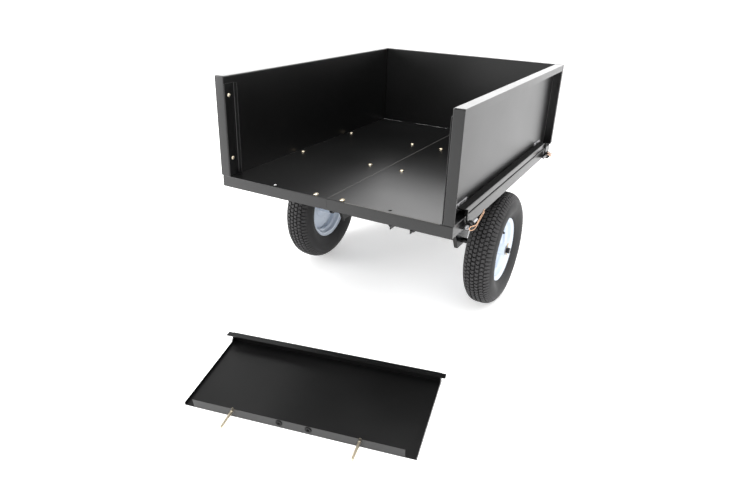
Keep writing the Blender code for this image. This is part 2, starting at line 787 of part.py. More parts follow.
def front_wall():
    """The front wall: a panel flanged forward, standing on two tabs ahead of the floor's flange."""
    half = WALL_SHEET / 2
    low = FLOOR_Z + FRONT_WALL_ABOVE_FLOOR
    height = WALL_TOP - low - half
    width = BED_WIDTH - WALL_SHEET
    panel = tray(width, height, WALL_FLANGE - half, WALL_SHEET, WALL_BEND, ("far", "left", "right"))
    turned_by(panel, 90, "X")
    mid_y = FRONT_Y + GAP + half
    moved(panel, 0, mid_y, low + height / 2)
    outer = mid_y - half + WALL_FLANGE
    lip = box(
        (-HALF_WIDTH + WALL_BEND, HALF_WIDTH - WALL_BEND),
        (outer - WALL_SHEET, outer - half / 4),
        (WALL_TOP - WALL_LIP, WALL_TOP - half),
    )
    tabs = [
        box(
            (side * FRONT_TAB_OUT - FRONT_TAB_WIDTH / 2, side * FRONT_TAB_OUT + FRONT_TAB_WIDTH / 2),
            (mid_y - half, mid_y + half),
            (FLOOR_Z - FRONT_TAB_DROP, low + WALL_LIP),
        )
        for side in (-1, 1)
    ]
    return joined(panel, lip, *tabs)


def bed_lug():
    """The right rear lug of the bed: a small U bracket whose two ears take the hinge pin."""
    start = REAR_Y + BED_LUG_FROM_END
    inner = HALF_WIDTH + GAP
    low = HINGE_Z - BED_LUG_EYE
    base = box((inner, inner + BED_LUG_BASE), (start, start + BED_LUG_LENGTH), (low, HINGE_Z - RUNNING_GAP))
    ear_outline = [
        (inner + GAP, low),
        (HINGE_X, low),
        *arc((HINGE_X, HINGE_Z), BED_LUG_EYE, -75, 165, 9),
        (HINGE_X - BED_LUG_EYE + GAP, HINGE_Z - RUNNING_GAP - GAP),
        (inner + GAP, HINGE_Z - RUNNING_GAP - GAP),
    ]
    ear = plate(ear_outline, BED_LUG_PLATE, "XZ")
    rear_ear = moved(ear.copy(), y=start + BED_LUG_PLATE / 2)
    front_ear = moved(ear, y=start + BED_LUG_LENGTH - BED_LUG_PLATE / 2)
    bore = cylinder(PIN_BORE, 2 * BED_LUG_LENGTH, (HINGE_X, start + BED_LUG_LENGTH / 2, HINGE_Z), "Y")
    return cut(joined(base, rear_ear, front_ear), bore)


def hinge_pin():
    """The right rear hinge pin: a collar behind the lug, and a shank with a chamfered tip."""
    radius = PIN_DIAMETER / 2
    collar = PIN_COLLAR_DIAMETER / 2
    end = PIN_COLLAR_LENGTH + PIN_LENGTH
    profile = [
        (0, end),
        (radius - PIN_TIP_CHAMFER / 2, end),
        (radius, end - PIN_TIP_CHAMFER),
        (radius, PIN_COLLAR_LENGTH),
        (collar, PIN_COLLAR_LENGTH),
        (collar, 0),
        (0, 0),
    ]
    pin = turned(profile, axis="Y")
    return moved(pin, HINGE_X, REAR_Y + PIN_COLLAR_FROM_END, HINGE_Z)


def bail():
    """The right rear bail: a spring wire hung on the collar, round outside the lug to the pin's tip."""
    seat = PIN_COLLAR_DIAMETER / 2 + GAP + BAIL_WIRE / 2
    upper = [
        (0, 0, seat),
        (BAIL_CROWN, BAIL_EASE / 3, seat),
        (BAIL_OUT - BAIL_EASE / 3, BAIL_EASE, (seat + BAIL_LEG_SPREAD) / 2),
        (BAIL_OUT, 2 * BAIL_EASE, BAIL_LEG_SPREAD),
        (BAIL_OUT, BAIL_LENGTH - BAIL_NOSE, BAIL_LEG_SPREAD),
        (BAIL_OUT - BAIL_EASE, BAIL_LENGTH - BAIL_EASE, BAIL_LEG_SPREAD),
        (BAIL_OUT - BAIL_NOSE, BAIL_LENGTH, BAIL_LEG_SPREAD - BAIL_EASE / 4),
    ]
    lower = [(x, y, -z) for x, y, z in reversed(upper)]
    loop = wire(upper + lower, BAIL_WIRE, resolution=1)
    return moved(loop, HINGE_X, REAR_Y + PIN_COLLAR_FROM_END + PIN_COLLAR_LENGTH / 2, HINGE_Z)


def other_end(mesh):
    """A copy for the bed's other end."""
    copy = mesh.copy()
    middle = (REAR_Y + FRONT_Y) / 2
    copy.transform(Matrix.Translation((0, 2 * middle, 0)) @ Matrix.Diagonal((1, -1, 1, 1)))
    copy.flip_normals()
    return copy


def add_hinges(bed, bail_bodies):
    for name, mesh, material in (
        ("lug", bed_lug(), BLACK_COAT),
        ("pin", hinge_pin(), GOLD_ZINC),
        ("bail", bail(), GOLD_ZINC),
    ):
        for end, end_mesh in (("rear", mesh), ("front", other_end(mesh))):
            for side, side_mesh in (("right", end_mesh), ("left", mirrored(end_mesh))):
                body = bail_bodies[side, end] if name == "bail" else bed
                add_part(f"{side}_{end}_{name}", side_mesh, material, body)


def tyre():
    """The tyre: a round section that closes over the rim, from bead to bead."""
    bead = RIM_HALF_WIDTH - TYRE_BEAD_INSET
    edge = RIM_DIAMETER / 2
    rise = TYRE_RADIUS - edge
    side = [
        (BEAD_SEAT_RADIUS + RIM_SHEET / 2 + GAP, bead),
        (edge, bead + TYRE_BEAD_FLARE),
        (edge + TYRE_BEAD_FLARE, RIM_HALF_WIDTH + TYRE_BEAD_BULGE),
    ]
    side += [(edge + rise * up, TYRE_WIDTH / 2 * out) for up, out in TYRE_SIDE]
    section = side + [(radius, -across) for radius, across in reversed(side)]
    return turned(section, WHEEL_STEPS, "X")


def rim():
    """The wheel: a drop-centre barrel rolled from sheet, with a dished disc across it."""
    well = RIM_WELL_RADIUS
    side = [
        (RIM_DIAMETER / 2, RIM_HALF_WIDTH),
        (BEAD_SEAT_RADIUS + RIM_CURL, RIM_HALF_WIDTH - RIM_CURL / 2),
        (BEAD_SEAT_RADIUS, RIM_HALF_WIDTH - RIM_CURL_WIDTH),
        (BEAD_SEAT_RADIUS - RIM_SEAT_TAPER, RIM_HALF_WIDTH - RIM_CURL_WIDTH - RIM_SEAT_WIDTH),
        (well, RIM_HALF_WIDTH - RIM_WELL_FROM_EDGE),
    ]
    line = side + [(radius, -across) for radius, across in reversed(side)]
    bm = bmesh.new()
    points = [bm.verts.new((radius, 0, across)) for radius, across in line]
    for start, end in zip(points, points[1:]):
        bm.edges.new((start, end))
    bmesh.ops.spin(
        bm,
        geom=list(bm.verts) + list(bm.edges),
        cent=(0, 0, 0),
        axis=(0, 0, 1),
        angle=math.tau,
        steps=WHEEL_STEPS,
        use_merge=True,
    )
    bmesh.ops.remove_doubles(bm, verts=bm.verts, dist=0.00001)
    barrel = solidified(mesh_from(bm), RIM_SHEET)
    hub = HUB_DIAMETER / 2 + GAP
    back = RIM_DISC_OUT - RIM_SHEET / 2
    front = RIM_DISC_OUT + RIM_SHEET / 2
    crown = hub + RIM_DISC_CROWN_WIDTH
    flat = crown + RIM_DISC_SLOPE
    flare = well - RIM_DISC_CROWN_WIDTH
    disc = turned(
        [
            (hub, front + RIM_DISC_CROWN),
            (crown, front + RIM_DISC_CROWN),
            (flat, front),
            (flare, front),
            (well, front + RIM_DISC_FLARE),
            (well, back + RIM_DISC_FLARE),
            (flare, back),
            (flat, back),
            (crown, back + RIM_DISC_CROWN),
            (hub, back + RIM_DISC_CROWN),
        ],
        WHEEL_STEPS,
    )
    return turned_by(joined(barrel, disc), 90, "Y")


def hub():
    radius = HUB_DIAMETER / 2
    bore = AXLE_DIAMETER / 2 + GAP
    profile = [
        (bore, HUB_HALF_LENGTH),
        (radius - HUB_CHAMFER, HUB_HALF_LENGTH),
        (radius, HUB_HALF_LENGTH - HUB_CHAMFER),
        (radius, -HUB_HALF_LENGTH + HUB_CHAMFER),
        (radius - HUB_CHAMFER, -HUB_HALF_LENGTH),
        (bore, -HUB_HALF_LENGTH),
    ]
    return turned(profile, HUB_STEPS, "X")


def valve_stem():
    """The valve stem: a rubber taper and a cap, leaning out of the barrel's well behind its top."""
    radius = VALVE_DIAMETER / 2
    profile = [
        (0, VALVE_LENGTH),
        (radius * 0.6, VALVE_LENGTH),
        (radius * 0.6, VALVE_LENGTH * 0.6),
        (radius * 0.75, VALVE_LENGTH * 0.55),
        (radius, 0),
        (0, 0),
    ]
    stem = turned(profile, HOLE_STEPS)
    turned_by(stem, 180 - VALVE_LEAN, "Y")
    well = (RIM_WELL_RADIUS - RIM_SHEET / 2) * math.cos(math.pi / WHEEL_STEPS)
    foot = well - GAP - radius * math.sin(math.radians(VALVE_LEAN))
    out = RIM_DISC_OUT + RIM_SHEET / 2 + RIM_DISC_FLARE + radius + GAP
    return turned_by(moved(stem, x=out, z=foot), VALVE_TURN, "X")


def washer():
    bore = AXLE_DIAMETER / 2 + GAP
    edge = WASHER_DIAMETER / 2
    half = WASHER_THICKNESS / 2
    profile = [(bore, half), (edge, half), (edge, -half), (bore, -half)]
    place = WHEEL_X + HUB_HALF_LENGTH + GAP + half
    return moved(turned(profile, HUB_STEPS, "X"), x=place)


def cotter_x():
    return WHEEL_X + HUB_HALF_LENGTH + 2 * GAP + WASHER_THICKNESS + COTTER_HOLE / 2 + GAP


def cotter_pin():
    """The right cotter: a wire through the axle's end, with an eye on top."""
    top = COTTER_HALF_LENGTH
    eye = arc((0, top + COTTER_EYE), COTTER_EYE, -90, 200, 10)
    points = [(cotter_x(), 0, -COTTER_HALF_LENGTH), (cotter_x(), 0, 0)]
    points += [(cotter_x(), across, up) for across, up in eye]
    return wire(points, COTTER_WIRE, resolution=1)


def axle():
    """The axle: one bar with a collar welded on inside each wheel and a hole near each end."""
    end = cotter_x() + AXLE_PAST_WASHER
    radius = AXLE_DIAMETER / 2
    collar = AXLE_COLLAR_DIAMETER / 2
    outside = WHEEL_X - HUB_HALF_LENGTH - RUNNING_GAP
    inside = outside - AXLE_COLLAR_LENGTH
    side = [
        (0, end),
        (radius - 0.001, end),
        (radius, end - 0.001),
        (radius, outside),
        (collar, outside),
        (collar, inside),
        (radius, inside),
    ]
    profile = side + [(distance, -across) for distance, across in reversed(side)]
    bar = turned(profile, HUB_STEPS, "X")
    holes = [cylinder(COTTER_HOLE, 3 * radius, (side * cotter_x(), 0, 0), steps=8) for side in (-1, 1)]
    return cut(bar, *holes)


def add_wheels(chassis, wheels):
    add_part("axle", axle(), BLACK_COAT, chassis)
    pieces = (
        ("tyre", tyre(), TYRE_RUBBER),
        ("rim", rim(), WHITE_PAINT),
        ("hub", hub(), WHITE_PAINT),
        ("valve_stem", valve_stem(), STEM_RUBBER),
    )
    for name, mesh, material in pieces:
        moved(mesh, x=WHEEL_X)
        add_part(f"right_{name}", mesh, material, wheels["right"])
        add_part(f"left_{name}", mirrored(mesh), material, wheels["left"])
    for name, mesh, material in (
        ("wheel_washer", washer(), BRIGHT_ZINC),
        ("cotter_pin", cotter_pin(), BRASS),
    ):
        add_part(f"right_{name}", mesh, material, chassis)
        add_part(f"left_{name}", mirrored(mesh), material, chassis)


def drawbar():
    """The drawbar: a channel folded down, whose sides run back past the axle as a fork."""
    half = DRAWBAR_SHEET / 2
    side = DRAWBAR_HALF_WIDTH
    section = [
        (-side, DRAWBAR_BOTTOM),
        (-side, DRAWBAR_TOP - half),
        (side, DRAWBAR_TOP - half),
        (side, DRAWBAR_BOTTOM),
    ]
    channel = folded(section, (DRAWBAR_REAR, DRAWBAR_FRONT), DRAWBAR_SHEET, DRAWBAR_SHEET)
    fork = box(
        (-side + half, side - half),
        (DRAWBAR_REAR - side, DRAWBAR_WEB_REAR),
        (DRAWBAR_BOTTOM - side, DRAWBAR_TOP + side),
    )
    bores = [axle_bore(side * DRAWBAR_HALF_WIDTH) for side in (-1, 1)]
    return cut(channel, fork, *bores)


def hitch_clevis():
    """The clevis: one strap folded back on itself, with a hole through both arms for the hitch pin."""
    half = CLEVIS_STRAP / 2
    width = CLEVIS_WIDTH / 2
    top = CLEVIS_TOP - half
    low = CLEVIS_UNDERSIDE + half
    section = [(CLEVIS_FRONT, top), (CLEVIS_REAR + half, top), (CLEVIS_REAR + half, low), (CLEVIS_FRONT, low)]
    strap = folded(section, (-width, width), CLEVIS_STRAP, CLEVIS_STRAP, along="X")
    hole = cylinder(HITCH_PIN_HOLE, 2 * (CLEVIS_TOP - CLEVIS_UNDERSIDE), (0, HITCH_Y, 0))
    return cut(strap, hole)


def hitch_pin():
    """The hitch pin: a rod that drops through the clevis, held by its collar, with a bent handle."""
    neck = CLEVIS_TOP + GAP + HITCH_PIN_COLLAR_HEIGHT + HITCH_PIN_NECK
    bend = HITCH_PIN_DIAMETER
    corner = arc((bend, neck), bend, 180, 90, 4)
    points = [(0, HITCH_Y, CLEVIS_UNDERSIDE + GAP), (0, HITCH_Y, CLEVIS_TOP)]
    points += [(across, HITCH_Y, up) for across, up in corner]
    points.append((HITCH_PIN_HANDLE, HITCH_Y, neck + bend))
    rod = wire(points, HITCH_PIN_DIAMETER)
    low = CLEVIS_TOP + GAP
    middle = low + HITCH_PIN_COLLAR_HEIGHT / 2
    collar = cylinder(HITCH_PIN_COLLAR, HITCH_PIN_COLLAR_HEIGHT, (0, HITCH_Y, middle), steps=HUB_STEPS)
    return joined(rod, collar)


def latch_stand():
    """The stand: folded from sheet, open in front and below, holding the bed's nose and the lever."""
    half = STAND_HALF_WIDTH
    front = STAND_REAR + STAND_TOP_LENGTH
    pivot = (LEVER_PIVOT_FORWARD, LEVER_PIVOT_UP)
    outline = [
        (STAND_REAR, STAND_BOTTOM),
        (STAND_REAR + STAND_FOOT_LENGTH, STAND_BOTTOM),
        *arc(pivot, STAND_EAR, -10, 100, 8),
        (front, LEVER_PIVOT_UP + STAND_TOP_LENGTH),
        (front, STAND_TOP),
        (STAND_REAR, STAND_TOP),
    ]
    block = plate(outline, 2 * half, "YZ")
    inside = half - STAND_SHEET
    hollow = box(
        (-inside, inside),
        (STAND_REAR + STAND_SHEET, STAND_REAR + 2 * STAND_FOOT_LENGTH),
        (STAND_BOTTOM - STAND_SHEET, STAND_TOP - STAND_SHEET),
    )
    bore = cylinder(PIVOT_BOLT_DIAMETER + 2 * GAP, 4 * half, (0, *pivot), "X")
    return cut(block, hollow, bore)


def pivot_bolt():
    """The lever's pivot bolt, from head to nut across the stand."""
    length = 2 * (STAND_HALF_WIDTH + GAP)
    total = length + 2 * PIVOT_BOLT_HEAD_HEIGHT + BOLT_END
    shank = cylinder(PIVOT_BOLT_DIAMETER, total, (BOLT_END / 2, 0, 0), "X")
    ends = [
        cylinder(
            PIVOT_BOLT_HEAD,
            PIVOT_BOLT_HEAD_HEIGHT,
            (side * (length + PIVOT_BOLT_HEAD_HEIGHT) / 2, 0, 0),
            "X",
            steps=6,
        )
        for side in (-1, 1)
    ]
    return moved(joined(shank, *ends), 0, LEVER_PIVOT_FORWARD, LEVER_PIVOT_UP)


def latch_lever():
    """The dump lever: a hooked plate on a cross tube, drawn closed and then laid back open."""
    hook_low = KEEPER_UNDERSIDE + KEEPER_SHEET + 4 * GAP - LEVER_PIVOT_UP
    hook_top = hook_low + HOOK_THICKNESS
    throat = FRONT_Y + GAP + KEEPER_TONGUE + HOOK_ROOM - LEVER_PIVOT_FORWARD
    nose = throat - HOOK_LENGTH
    outline = [
        *arc((0, 0), LEVER_BOSS / 2, 150, 345, 10),
        (LEVER_WAIST, hook_low / 2),
        (LEVER_SHOULDER, hook_low + LEVER_SHOULDER_RISE),
        *arc((LEVER_KNOB_AHEAD, LEVER_LENGTH), LEVER_KNOB / 2, -10, 160, 6),
        (LEVER_SHOULDER - LEVER_NECK, hook_low + LEVER_SHOULDER_RISE + HOOK_CHAMFER),
        (throat + HOOK_CHAMFER, hook_top),
        (nose, hook_top),
        (nose - HOOK_CHAMFER, hook_top - HOOK_CHAMFER),
        (nose - HOOK_CHAMFER, hook_low + HOOK_CHAMFER),
        (nose, hook_low),
        (throat, hook_low),
        (throat + HOOK_CHAMFER, hook_low - HOOK_THROAT),
    ]
    blade = plate(outline, LEVER_PLATE, "YZ")
    tube_length = 2 * (STAND_HALF_WIDTH - STAND_SHEET - RUNNING_GAP)
    tube = cylinder(LEVER_BOSS, tube_length, (0, 0, 0), "X", steps=HUB_STEPS)
    bore = cylinder(LEVER_BORE, 2 * tube_length, (0, 0, 0), "X")
    lever = cut(joined(blade, tube), bore)
    turned_by(lever, -LEVER_OPEN, "X")
    return moved(lever, 0, LEVER_PIVOT_FORWARD, LEVER_PIVOT_UP)


def latch_keeper():
    """The keeper: an angle on the bed's nose whose tongue the lever's hook holds down."""
    half = KEEPER_SHEET / 2
    back = FRONT_Y + GAP + half
    tip = FRONT_Y + GAP + KEEPER_TONGUE
    low = KEEPER_UNDERSIDE + half
    section = [(back, KEEPER_UNDERSIDE + KEEPER_UPRIGHT), (back, low), (tip, low)]
    width = KEEPER_HALF_WIDTH
    return folded(section, (-width, width), KEEPER_SHEET, KEEPER_SHEET, along="X")


def add_drawbar(chassis, bed, lever, pin):
    add_part("drawbar", drawbar(), BLACK_COAT, chassis)
    add_part("hitch_clevis", hitch_clevis(), BLACK_COAT, chassis)
    add_part("latch_stand", latch_stand(), BLACK_COAT, chassis)
    add_part("latch_pivot_bolt", pivot_bolt(), BRIGHT_ZINC, chassis)
    add_part("latch_keeper", latch_keeper(), BLACK_COAT, bed)
    add_part("latch_lever", latch_lever(), BLACK_COAT, lever)
    add_part("hitch_pin", hitch_pin(), BRIGHT_ZINC, pin)


def tailgate_panel():
    """The tailgate, lying on its inner face: X across it, Y up it, Z out through its outer face."""
    half = TAILGATE_SHEET / 2
    side = TAILGATE_WIDTH / 2
    top = TAILGATE_HEIGHT - half
    section = [
        (TAILGATE_HEIGHT - TAILGATE_LIP, TAILGATE_TOP_FLANGE),
        (top, TAILGATE_TOP_FLANGE),
        (top, half),
        (0, half),
    ]
    sheet = folded(section, (-side, side), TAILGATE_SHEET, TAILGATE_SHEET, along="X")
    foot = box(
        (-side + TAILGATE_BOTTOM_CUT, side - TAILGATE_BOTTOM_CUT),
        (0, TAILGATE_SHEET),
        (half, TAILGATE_BOTTOM_FLANGE),
    )
    overhangs = [
        box(
            sorted((end * (side - half), end * (side + TAILGATE_LIP_OVERHANG))),
            (TAILGATE_HEIGHT - TAILGATE_LIP, TAILGATE_HEIGHT - TAILGATE_SHEET - half),
            (TAILGATE_TOP_FLANGE - half, TAILGATE_TOP_FLANGE + half),
        )
        for end in (-1, 1)
    ]
    returns = [
        box(
            sorted((end * side, end * (side - TAILGATE_SHEET))),
            (0, TAILGATE_HEIGHT - 2 * TAILGATE_SHEET),
            (half, TAILGATE_RETURN),
        )
        for end in (-1, 1)
    ]
    top_corner = TAILGATE_HEIGHT - half
    gusset_outline = [(0, top_corner), (0, top_corner - TAILGATE_GUSSET), (TAILGATE_TOP_FLANGE, top_corner)]
    gusset = turned_by(plate(gusset_outline, TAILGATE_SHEET), -90, "Y")
    moved(gusset, x=side - half, z=half)
    gussets = [gusset, mirrored(gusset)]
    holes = [
        cylinder(DROP_PIN_HOLE, 8 * TAILGATE_SHEET, (end * out, 0, drop_pin_up()), "Y", steps=HOLE_STEPS)
        for end in (-1, 1)
        for out in (DROP_PIN_OUT, BOLT_PAIRS[0][0])
    ]
    return cut(joined(sheet, foot, *overhangs, *returns, *gussets), *holes)


def drop_pin_up():
    """How far a drop pin stands off the tailgate's inner face, so that it meets the floor's hole."""
    return GUIDE_PLATE - 2 * GUIDE_SHEET - DROP_PIN_FROM_REAR - WALL_ABOVE_FLOOR


def drop_pin():
    """A drop pin of the tailgate: a headed rod through its foot flange, pointing down from it."""
    radius = DROP_PIN_DIAMETER / 2
    head = DROP_PIN_HEAD / 2
    seat = TAILGATE_SHEET + GAP
    profile = [
        (0, seat + DROP_PIN_HEAD_HEIGHT),
        (head * 0.8, seat + DROP_PIN_HEAD_HEIGHT),
        (head, seat + DROP_PIN_HEAD_HEIGHT * 0.7),
        (head, seat),
        (radius, seat),
        (radius, -DROP_PIN_LENGTH + radius * 0.6),
        (radius * 0.5, -DROP_PIN_LENGTH),
        (0, -DROP_PIN_LENGTH),
    ]
    return moved(turned(profile, axis="Y"), DROP_PIN_OUT, 0, drop_pin_up())


def add_tailgate():
    empty = bpy.data.objects.new("tailgate", None)
    empty.location = (TAILGATE_ASIDE, AXLE_Y - TAILGATE_BEHIND_AXLE, 0)
    empty.rotation_euler = (0, 0, TAILGATE_YAW)
    PARTS.objects.link(empty)
    body = Body(empty, Vector())
    add_part("tailgate_panel", tailgate_panel(), BLACK_COAT, body)
    pin = drop_pin()
    add_part("right_drop_pin", pin, GOLD_ZINC, body)
    add_part("left_drop_pin", mirrored(pin), GOLD_ZINC, body)


def main():
    chassis = add_body("chassis", (0, 0, 0))
    chassis.empty.location = (0, AXLE_Y, TYRE_RADIUS)
    chassis.empty.rotation_euler = (-PARKED_TILT, 0, 0)
    bed = add_body("bed", (0, 0, 0), chassis)
    sides = {"right": 1, "left": -1}
    wheels = {name: add_body(f"{name}_wheel", (sign * WHEEL_X, 0, 0), chassis) for name, sign in sides.items()}
    walls = {
        name: add_body(f"{name}_side", (sign * HINGE_X, (REAR_Y + FRONT_Y) / 2, HINGE_Z), bed)
        for name, sign in sides.items()
    }
    collar = PIN_COLLAR_FROM_END + PIN_COLLAR_LENGTH / 2
    bails = {
        (side, end): add_body(f"{side}_{end}_bail_axis", (sign * HINGE_X, y, HINGE_Z), bed)
        for side, sign in sides.items()
        for end, y in (("rear", REAR_Y + collar), ("front", FRONT_Y - collar))
    }
    lever = add_body("dump_lever", (0, LEVER_PIVOT_FORWARD, LEVER_PIVOT_UP), chassis)
    pin = add_body("hitch_drop_pin", (0, HITCH_Y, CLEVIS_TOP), chassis)
    add_floor(bed)
    add_hangers(bed)
    add_part("front_wall", front_wall(), BLACK_COAT, bed)
    add_side_walls(walls)
    add_hinges(bed, bails)
    add_wheels(chassis, wheels)
    add_drawbar(chassis, bed, lever, pin)
    add_tailgate()


main()
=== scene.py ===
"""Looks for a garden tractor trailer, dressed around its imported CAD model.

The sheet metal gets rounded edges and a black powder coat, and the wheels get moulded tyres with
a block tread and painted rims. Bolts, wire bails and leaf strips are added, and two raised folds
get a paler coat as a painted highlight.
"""

import json
import logging
import math
from dataclasses import dataclass
from enum import Enum

import bmesh
import bpy
from mathutils import Matrix, Vector

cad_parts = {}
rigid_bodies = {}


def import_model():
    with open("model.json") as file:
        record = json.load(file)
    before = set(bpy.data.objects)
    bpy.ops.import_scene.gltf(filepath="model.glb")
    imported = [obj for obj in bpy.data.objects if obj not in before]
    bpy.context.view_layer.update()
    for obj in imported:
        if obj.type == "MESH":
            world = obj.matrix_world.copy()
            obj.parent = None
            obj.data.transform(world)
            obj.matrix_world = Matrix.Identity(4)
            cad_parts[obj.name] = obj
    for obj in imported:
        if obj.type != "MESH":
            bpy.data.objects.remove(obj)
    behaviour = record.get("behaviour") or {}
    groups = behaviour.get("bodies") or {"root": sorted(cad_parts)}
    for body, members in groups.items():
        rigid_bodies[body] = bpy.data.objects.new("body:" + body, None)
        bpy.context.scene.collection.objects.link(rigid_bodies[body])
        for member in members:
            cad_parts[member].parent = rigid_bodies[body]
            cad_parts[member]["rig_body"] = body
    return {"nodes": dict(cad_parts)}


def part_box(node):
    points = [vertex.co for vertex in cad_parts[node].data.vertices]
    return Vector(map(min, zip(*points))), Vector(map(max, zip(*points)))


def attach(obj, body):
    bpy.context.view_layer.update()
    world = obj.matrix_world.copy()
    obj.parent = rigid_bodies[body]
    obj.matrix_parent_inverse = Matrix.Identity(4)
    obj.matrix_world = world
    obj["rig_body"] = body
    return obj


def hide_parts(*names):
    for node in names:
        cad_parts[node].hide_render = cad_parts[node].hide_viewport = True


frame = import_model()

LOG = logging.getLogger("trailer")
JOIN = 0.00001
SHARP_ANGLE = math.radians(32.0)
SCUFFED = "scuffed"
HERE = Matrix.Identity(4)
TO_Z = Matrix.Rotation(-math.pi / 2, 4, "Y")
TO_Y = Matrix.Rotation(math.pi / 2, 4, "Z")

Triple = tuple[float, float, float]
Profile = list[tuple[float, float]]
Rows = tuple[tuple[float, ...], ...]
Shape = bmesh.types.BMesh
Piece = bpy.types.Object
Socket = bpy.types.NodeSocket
Tree = bpy.types.NodeTree


class Slot(Enum):
    """The record's material slots."""

    BLACK_COAT = "black_coat"
    YELLOW_ZINC = "yellow_zinc"
    BRIGHT_ZINC = "bright_zinc"
    WHITE_PAINT = "white_paint"
    TYRE_RUBBER = "tyre_rubber"
    STEM_RUBBER = "stem_rubber"
    BRASS_COTTER = "brass_cotter"


class Side(Enum):
    """The trailer's two sides, seen from the rear, with the sign of their X."""

    LEFT = -1
    RIGHT = 1

    @property
    def word(self) -> str:
        """The side's name as the nodes have it."""
        return self.name.lower()

    @property
    def flip(self) -> Matrix:
        """The mirror image across X on the left, and no change on the right."""
        return Matrix.Diagonal((self.value, 1.0, 1.0, 1.0))


SINGLE_NODES = (
    "front_wall", "tailgate_panel", "drawbar", "hitch_clevis", "latch_stand", "latch_keeper",
    "latch_lever", "rear_splice_plate", "axle", "latch_pivot_bolt", "hitch_pin",
)
PAIRED_NODES = (
    "floor_pan", "side_wall", "tailgate_guide", "centre_bracket", "outer_bracket", "rear_lug",
    "front_lug", "wheel_washer",
)
FORMED_NODES = SINGLE_NODES + tuple(f"{side.word}_{name}" for name in PAIRED_NODES for side in Side)
SLOT_WORDS = (
    ("cotter", Slot.BRASS_COTTER), ("valve", Slot.STEM_RUBBER), ("tyre", Slot.TYRE_RUBBER),
    ("rim", Slot.WHITE_PAINT), ("hub", Slot.WHITE_PAINT), ("washer", Slot.BRIGHT_ZINC),
    ("bolt", Slot.YELLOW_ZINC), ("_pin", Slot.YELLOW_ZINC), ("_bail", Slot.YELLOW_ZINC),
)


def slot_of_node(node: str) -> Slot:
    """The finish that a CAD node takes: its first known word's, or else the black coat."""
    return next((slot for word, slot in SLOT_WORDS if word in node), Slot.BLACK_COAT)


class Wiring:
    """A node tree with short calls to add nodes and link them."""

    def __init__(self, tree: Tree) -> None:
        """Takes a material's, the world's or a group's tree."""
        self.tree = tree

    def add(self, kind: str, inputs: dict[str | int, object], **settings: object) -> bpy.types.Node:
        """Adds a node.

        Args:
            kind: the node's type name, such as ShaderNodeMath.
            inputs: what each of its inputs is fed with.
            settings: the node's own properties, such as its operation.

        Returns:
            The new node.
        """
        node = self.tree.nodes.new(kind)
        for name, value in settings.items():
            setattr(node, name, value)
        self.feed(node, inputs)
        return node

    def feed(self, node: bpy.types.Node, inputs: dict[str | int, object]) -> None:
        """Links a node's inputs to their sources, or sets them to plain values."""
        for name, source in inputs.items():
            if isinstance(source, Socket):
                self.tree.links.new(source, node.inputs[name])
            else:
                node.inputs[name].default_value = source

    def noise(self, vector: Socket, scale: object, detail: float) -> Socket:
        """Adds a noise texture of so many features a metre, with so many finer layers."""
        inputs = {"Vector": vector, "Scale": scale, "Detail": detail}
        return self.add("ShaderNodeTexNoise", inputs).outputs["Fac"]

    def spread(self, value: Socket, low: float, high: float, start: float, end: float) -> Socket:
        """Maps a value from one range to another and keeps it inside.

        Args:
            value: the value that varies over the surface.
            low: the result at the start.
            high: the result at the end.
            start: the value that gives low.
            end: the value that gives high.
        """
        inputs = {"Value": value, "From Min": start, "From Max": end, "To Min": low, "To Max": high}
        return self.add("ShaderNodeMapRange", inputs).outputs["Result"]

    def blend(self, mask: Socket, first: Triple | Socket, second: Triple) -> Socket:
        """Mixes two colours by a mask.

        Args:
            mask: the share of the second colour.
            first: the colour where the mask is 0.
            second: the colour where the mask is 1.
        """
        under = first if isinstance(first, Socket) else (*first, 1.0)
        inputs = {0: mask, 6: under, 7: (*second, 1.0)}
        return self.add("ShaderNodeMix", inputs, data_type="RGBA").outputs[2]

    def product(self, first: Socket, second: object) -> Socket:
        """Multiplies two values."""
        return self.add("ShaderNodeMath", {0: first, 1: second}, operation="MULTIPLY").outputs[0]


def new_group(name: str, outputs: tuple[str, ...]) -> Tree:
    """Makes an empty node group that takes coordinates and a scale.

    Args:
        name: the group's name.
        outputs: the names of the values that it gives.
    """
    group = bpy.data.node_groups.new(name, "ShaderNodeTree")
    group.interface.new_socket("Vector", in_out="INPUT", socket_type="NodeSocketVector")
    group.interface.new_socket("Scale", in_out="INPUT", socket_type="NodeSocketFloat")
    for label in outputs:
        group.interface.new_socket(label, in_out="OUTPUT", socket_type="NodeSocketFloat")
    group.nodes.new("NodeGroupInput")
    group.nodes.new("NodeGroupOutput")
    return group


def grain_group() -> Tree:
    """Builds the fine grain of a coat: its height, and a mask of its pits."""
    group = new_group("fine grain", ("Height", "Pits"))
    wiring = Wiring(group)
    place, scale = group.nodes["Group Input"].outputs[:2]
    coarse_scale = 0.35
    coarse_share = 0.6
    fine = wiring.noise(place, scale, detail=3.0)
    coarse = wiring.noise(place, wiring.product(scale, coarse_scale), detail=1.0)
    inputs = {0: fine, 1: wiring.product(coarse, coarse_share)}
    height = wiring.add("ShaderNodeMath", inputs, operation="ADD").outputs[0]
    pits = wiring.spread(coarse, 0.0, 1.0, start=0.50, end=0.70)
    wiring.feed(group.nodes["Group Output"], {"Height": height, "Pits": pits})
    return group


def dust_group() -> Tree:
    """Builds the uneven film of dust and handling on a surface, as one mask."""
    group = new_group("dust film", ("Film",))
    wiring = Wiring(group)
    place, scale = group.nodes["Group Input"].outputs[:2]
    fine_scale = 7.0
    broad = wiring.noise(place, scale, detail=2.0)
    small = wiring.noise(place, wiring.product(scale, fine_scale), detail=1.0)
    film = wiring.product(
        wiring.spread(broad, low=0.15, high=1.0, start=0.25, end=0.75),
        wiring.spread(small, low=0.85, high=1.0, start=0.3, end=0.7),
    )
    wiring.feed(group.nodes["Group Output"], {"Film": film})
    return group


